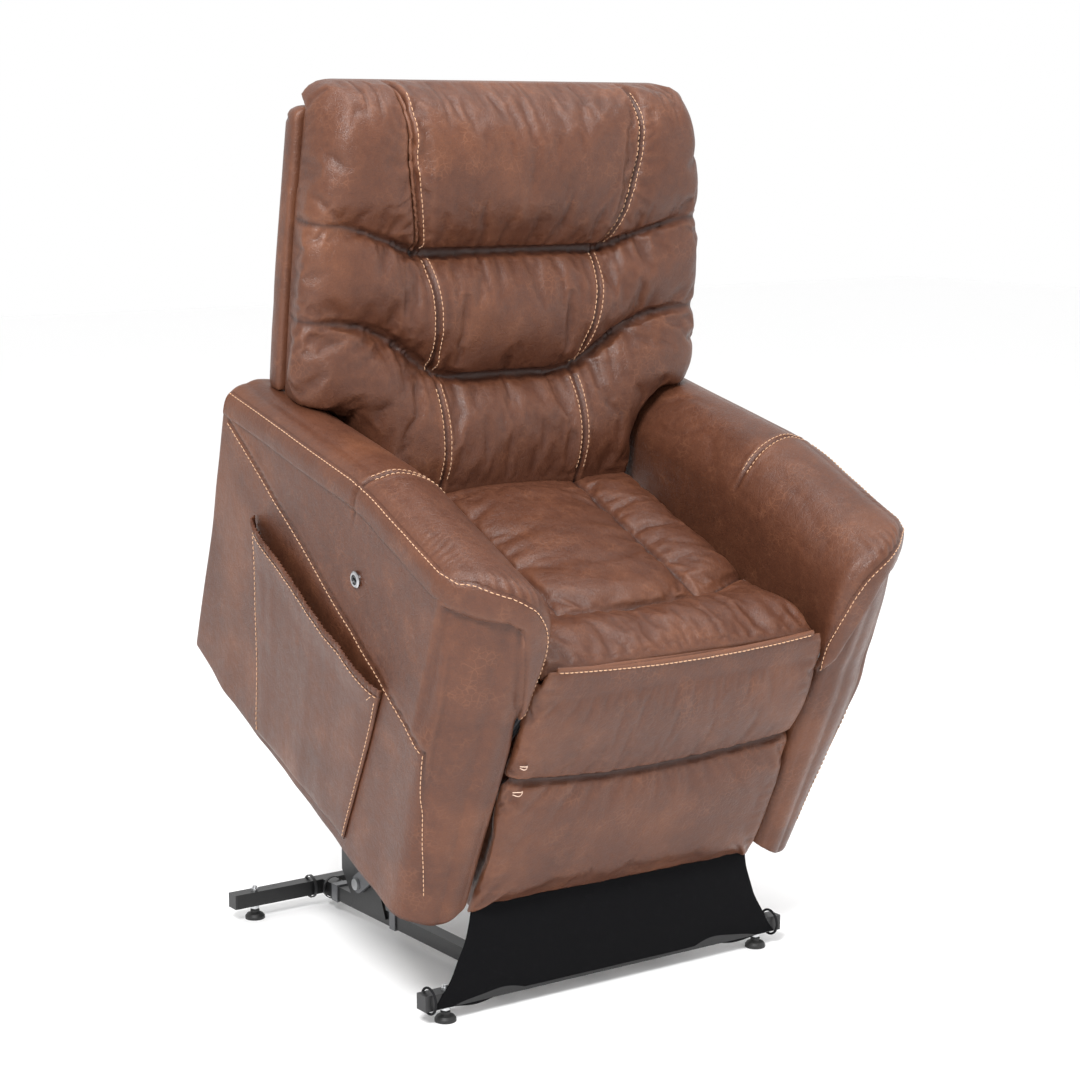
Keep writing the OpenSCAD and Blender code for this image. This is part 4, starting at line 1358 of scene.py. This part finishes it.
def build_arm(side, materials, threads):
    label = "left" if side < 0 else "right"
    seed = 60 if side < 0 else 80
    arm = arm_shell("arm_cover_" + label)
    subdivide(arm)
    points = points_of(arm)
    offset, seam = arm_detail(seed, *points.T)
    set_points(arm, points + normals_of(arm) * offset[:, None])
    mark_edges(arm, seam)
    tree = tree_of(arm)
    place = CHAIR @ Matrix.Diagonal((side, 1, 1, 1))
    thread = threads["chair"]
    points, faces, grid = band_on(tree, seed + 9)
    band = make_object("arm_band_" + label, points, faces)
    mark_edges(band)
    thread.row(edge_line(grid, 0.12, 0.0040), place)
    for start, end in zip(PANEL_SEAM[:-1], PANEL_SEAM[1:]):
        line = [(0.50, start[0] + (end[0] - start[0]) * t, start[1] + (end[1] - start[1]) * t - 0.007)
                for t in np.linspace(0, 1, 90)]
        thread.row(lay_on(tree, line, (-1, 0, 0)), place)
    for gap in (-0.006, 0.006):
        line = [(x, float(cross_seam_y(x)) + gap, 0.70) for x in np.linspace(0.415, 0.285, 60)]
        thread.row(lay_on(tree, line, (0, 0, -1), reach=0.14), place)
    solidify(arm, 0.008)
    for piece in (arm, band):
        if side < 0:
            mirror_mesh(piece)
        place_mesh(piece, CHAIR)
    nodes = ["arm_outer_", "arm_inner_", "arm_front_", "arm_rear_", "arm_pad_"]
    finish_piece(arm, "chair", materials["upholstery"], [n + label for n in nodes])
    finish_piece(band, "chair", materials["upholstery"])
    return tree


# ---------------------------------------------------------------- side pocket

def pocket_point(s, t):
    """A point (y, z) of the pocket: s from front to rear, t from foot to mouth."""
    corners = POCKET
    foot = [corners["front_foot"][i] * (1 - s) + corners["rear_foot"][i] * s for i in (0, 1)]
    mouth = [corners["front_top"][i] * (1 - s) + corners["rear_top"][i] * s for i in (0, 1)]
    return foot[0] * (1 - t) + mouth[0] * t, foot[1] * (1 - t) + mouth[1] * t


def build_pocket(arm_tree, materials, threads):
    """A loose pocket on the left arm's outer panel, gathered by elastic along its mouth."""
    across, up = 150, 90
    s, t = np.meshgrid(np.linspace(0, 1, across), np.linspace(0, 1, up))
    s, t = s.ravel(), t.ravel()
    y, z = pocket_point(s, t)
    edge = quarter_round(np.minimum(s, 1 - s) * 0.40, 0.05) * quarter_round(t * 0.32, 0.05)
    puff = (0.0040 + 0.0085 * t ** 2) * edge
    folds = noise(s * 9 + 0.5 * t, t * 1.2, seed=101) + 0.5 * noise(s * 21, t * 2.0, seed=102)
    puff += 0.0022 * folds * edge * (0.4 + 0.6 * t)
    mouth = smoothstep(t, 0.945, 0.985)
    puff += (0.0024 * np.sin(2 * pi * s * 52 + 2.5 * noise(s * 14, 0 * s, seed=103)) + 0.001) * mouth
    hem = ridge(t - 0.955, 0.008)
    puff -= 0.0016 * hem
    puff += 0.0075 * smoothstep(t, 0.78, 1.0) * quarter_round(np.minimum(s, 1 - s), 0.30)
    z = z + 0.0016 * noise(s * 60, 0 * s, seed=104) * mouth
    points = []
    for lift, along, height in zip(puff, y, z):
        spot = arm_tree.ray_cast(Vector((0.6, along, height)), Vector((-1, 0, 0)))[0]
        points.append((spot.x + 0.0028 + lift, along, height))
    index = np.arange(across * up).reshape(up, across)
    quads = grid_faces(index)
    pocket = make_object("side_pocket_cover", points, quads)
    # The hem line under the mouth gets painted shade.
    mark_edges(pocket, 0.6 * ridge(t - 0.955, 0.006))
    tree = tree_of(pocket)
    place = CHAIR @ Matrix.Diagonal((-1, 1, 1, 1))
    rows = [
        [pocket_point(share, 0.945) for share in np.linspace(0.01, 0.99, 120)],
        [pocket_point(0.012, share) for share in np.linspace(0.01, 0.93, 80)],
        [pocket_point(0.988, share) for share in np.linspace(0.01, 0.93, 80)],
    ]
    for row in rows:
        hits = lay_on(tree, [(0.50, a, b) for a, b in row], (-1, 0, 0))
        threads["chair"].row(hits, place)
    tab = [(0.50, *pocket_point(0.03 + 0.02 * k, 0.93 - 0.045 * (k % 2))) for k in range(2)]
    threads["chair"].row(lay_on(tree, tab, (-1, 0, 0)), place)
    solidify(pocket, 0.0022)
    mirror_mesh(pocket)
    place_mesh(pocket, CHAIR)
    finish_piece(pocket, "chair", materials["upholstery"], ("side_pocket",))


# ---------------------------------------------------------------- skirt

SKIRT_TOP_HALF = 0.272
SKIRT_HEM_HALF = 0.338


def build_skirt(materials):
    """The stretch skirt across the front of the base, tied at its lower corners and arched between them."""
    low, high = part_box("skirt")
    across, up = 150, 46
    s, t = np.meshgrid(np.linspace(-1, 1, across), np.linspace(0, 1, up))
    s, t = s.ravel(), t.ravel()
    half = SKIRT_TOP_HALF + (SKIRT_HEM_HALF - SKIRT_TOP_HALF) * (1 - t) ** 1.7
    x = s * half
    arch = 0.004 * (1 - np.abs(s) ** 2.2)
    lobe = 0.010 * ridge(np.abs(s) - 0.76, 0.13)
    hem = low.z + 0.001 + arch - lobe
    top = high.z + 0.020
    z = hem + (top - hem) * t
    middle = (low.y + high.y) / 2
    belly = -0.010 * np.sin(pi * t) * (1 - s ** 4)
    folds = 0.0022 * noise(s * 5 + t, t * 2.0, seed=111) * (1 - t)
    curl = 0.007 * ridge(np.abs(s) - 0.70, 0.2) * (1 - t) ** 3
    corner = 0.002 * smoothstep(np.abs(s), 0.86, 1.0) * np.sin(t * 17)
    y = middle + belly + folds + curl + corner * (1 - t)
    index = np.arange(across * up).reshape(up, across)
    quads = grid_faces(index)
    skirt = make_object("skirt_cloth", np.stack([x, y, z], 1), quads)
    solidify(skirt, 0.0012)
    finish_piece(skirt, "base", materials["skirt_fabric"], ("skirt",))
    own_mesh(skirt)


# ---------------------------------------------------------------- everything

def build_all():
    materials = frame_materials()
    dress_frame(materials)
    threads = {"chair": Thread(), "back": Thread()}
    build_back(materials, threads)
    build_shell(materials, threads)
    build_seat(materials, threads)
    build_legrest(materials, threads)
    left_tree = build_arm(-1, materials, threads)
    build_arm(1, materials, threads)
    build_pocket(left_tree, materials, threads)
    build_skirt(materials)
    thread = thread_material()
    for body, stitches in threads.items():
        stitches.build("stitching_" + body, body, thread)
    build_thread_loops(cream_thread_material())


add_camera()
add_studio()
add_floor()
build_all()
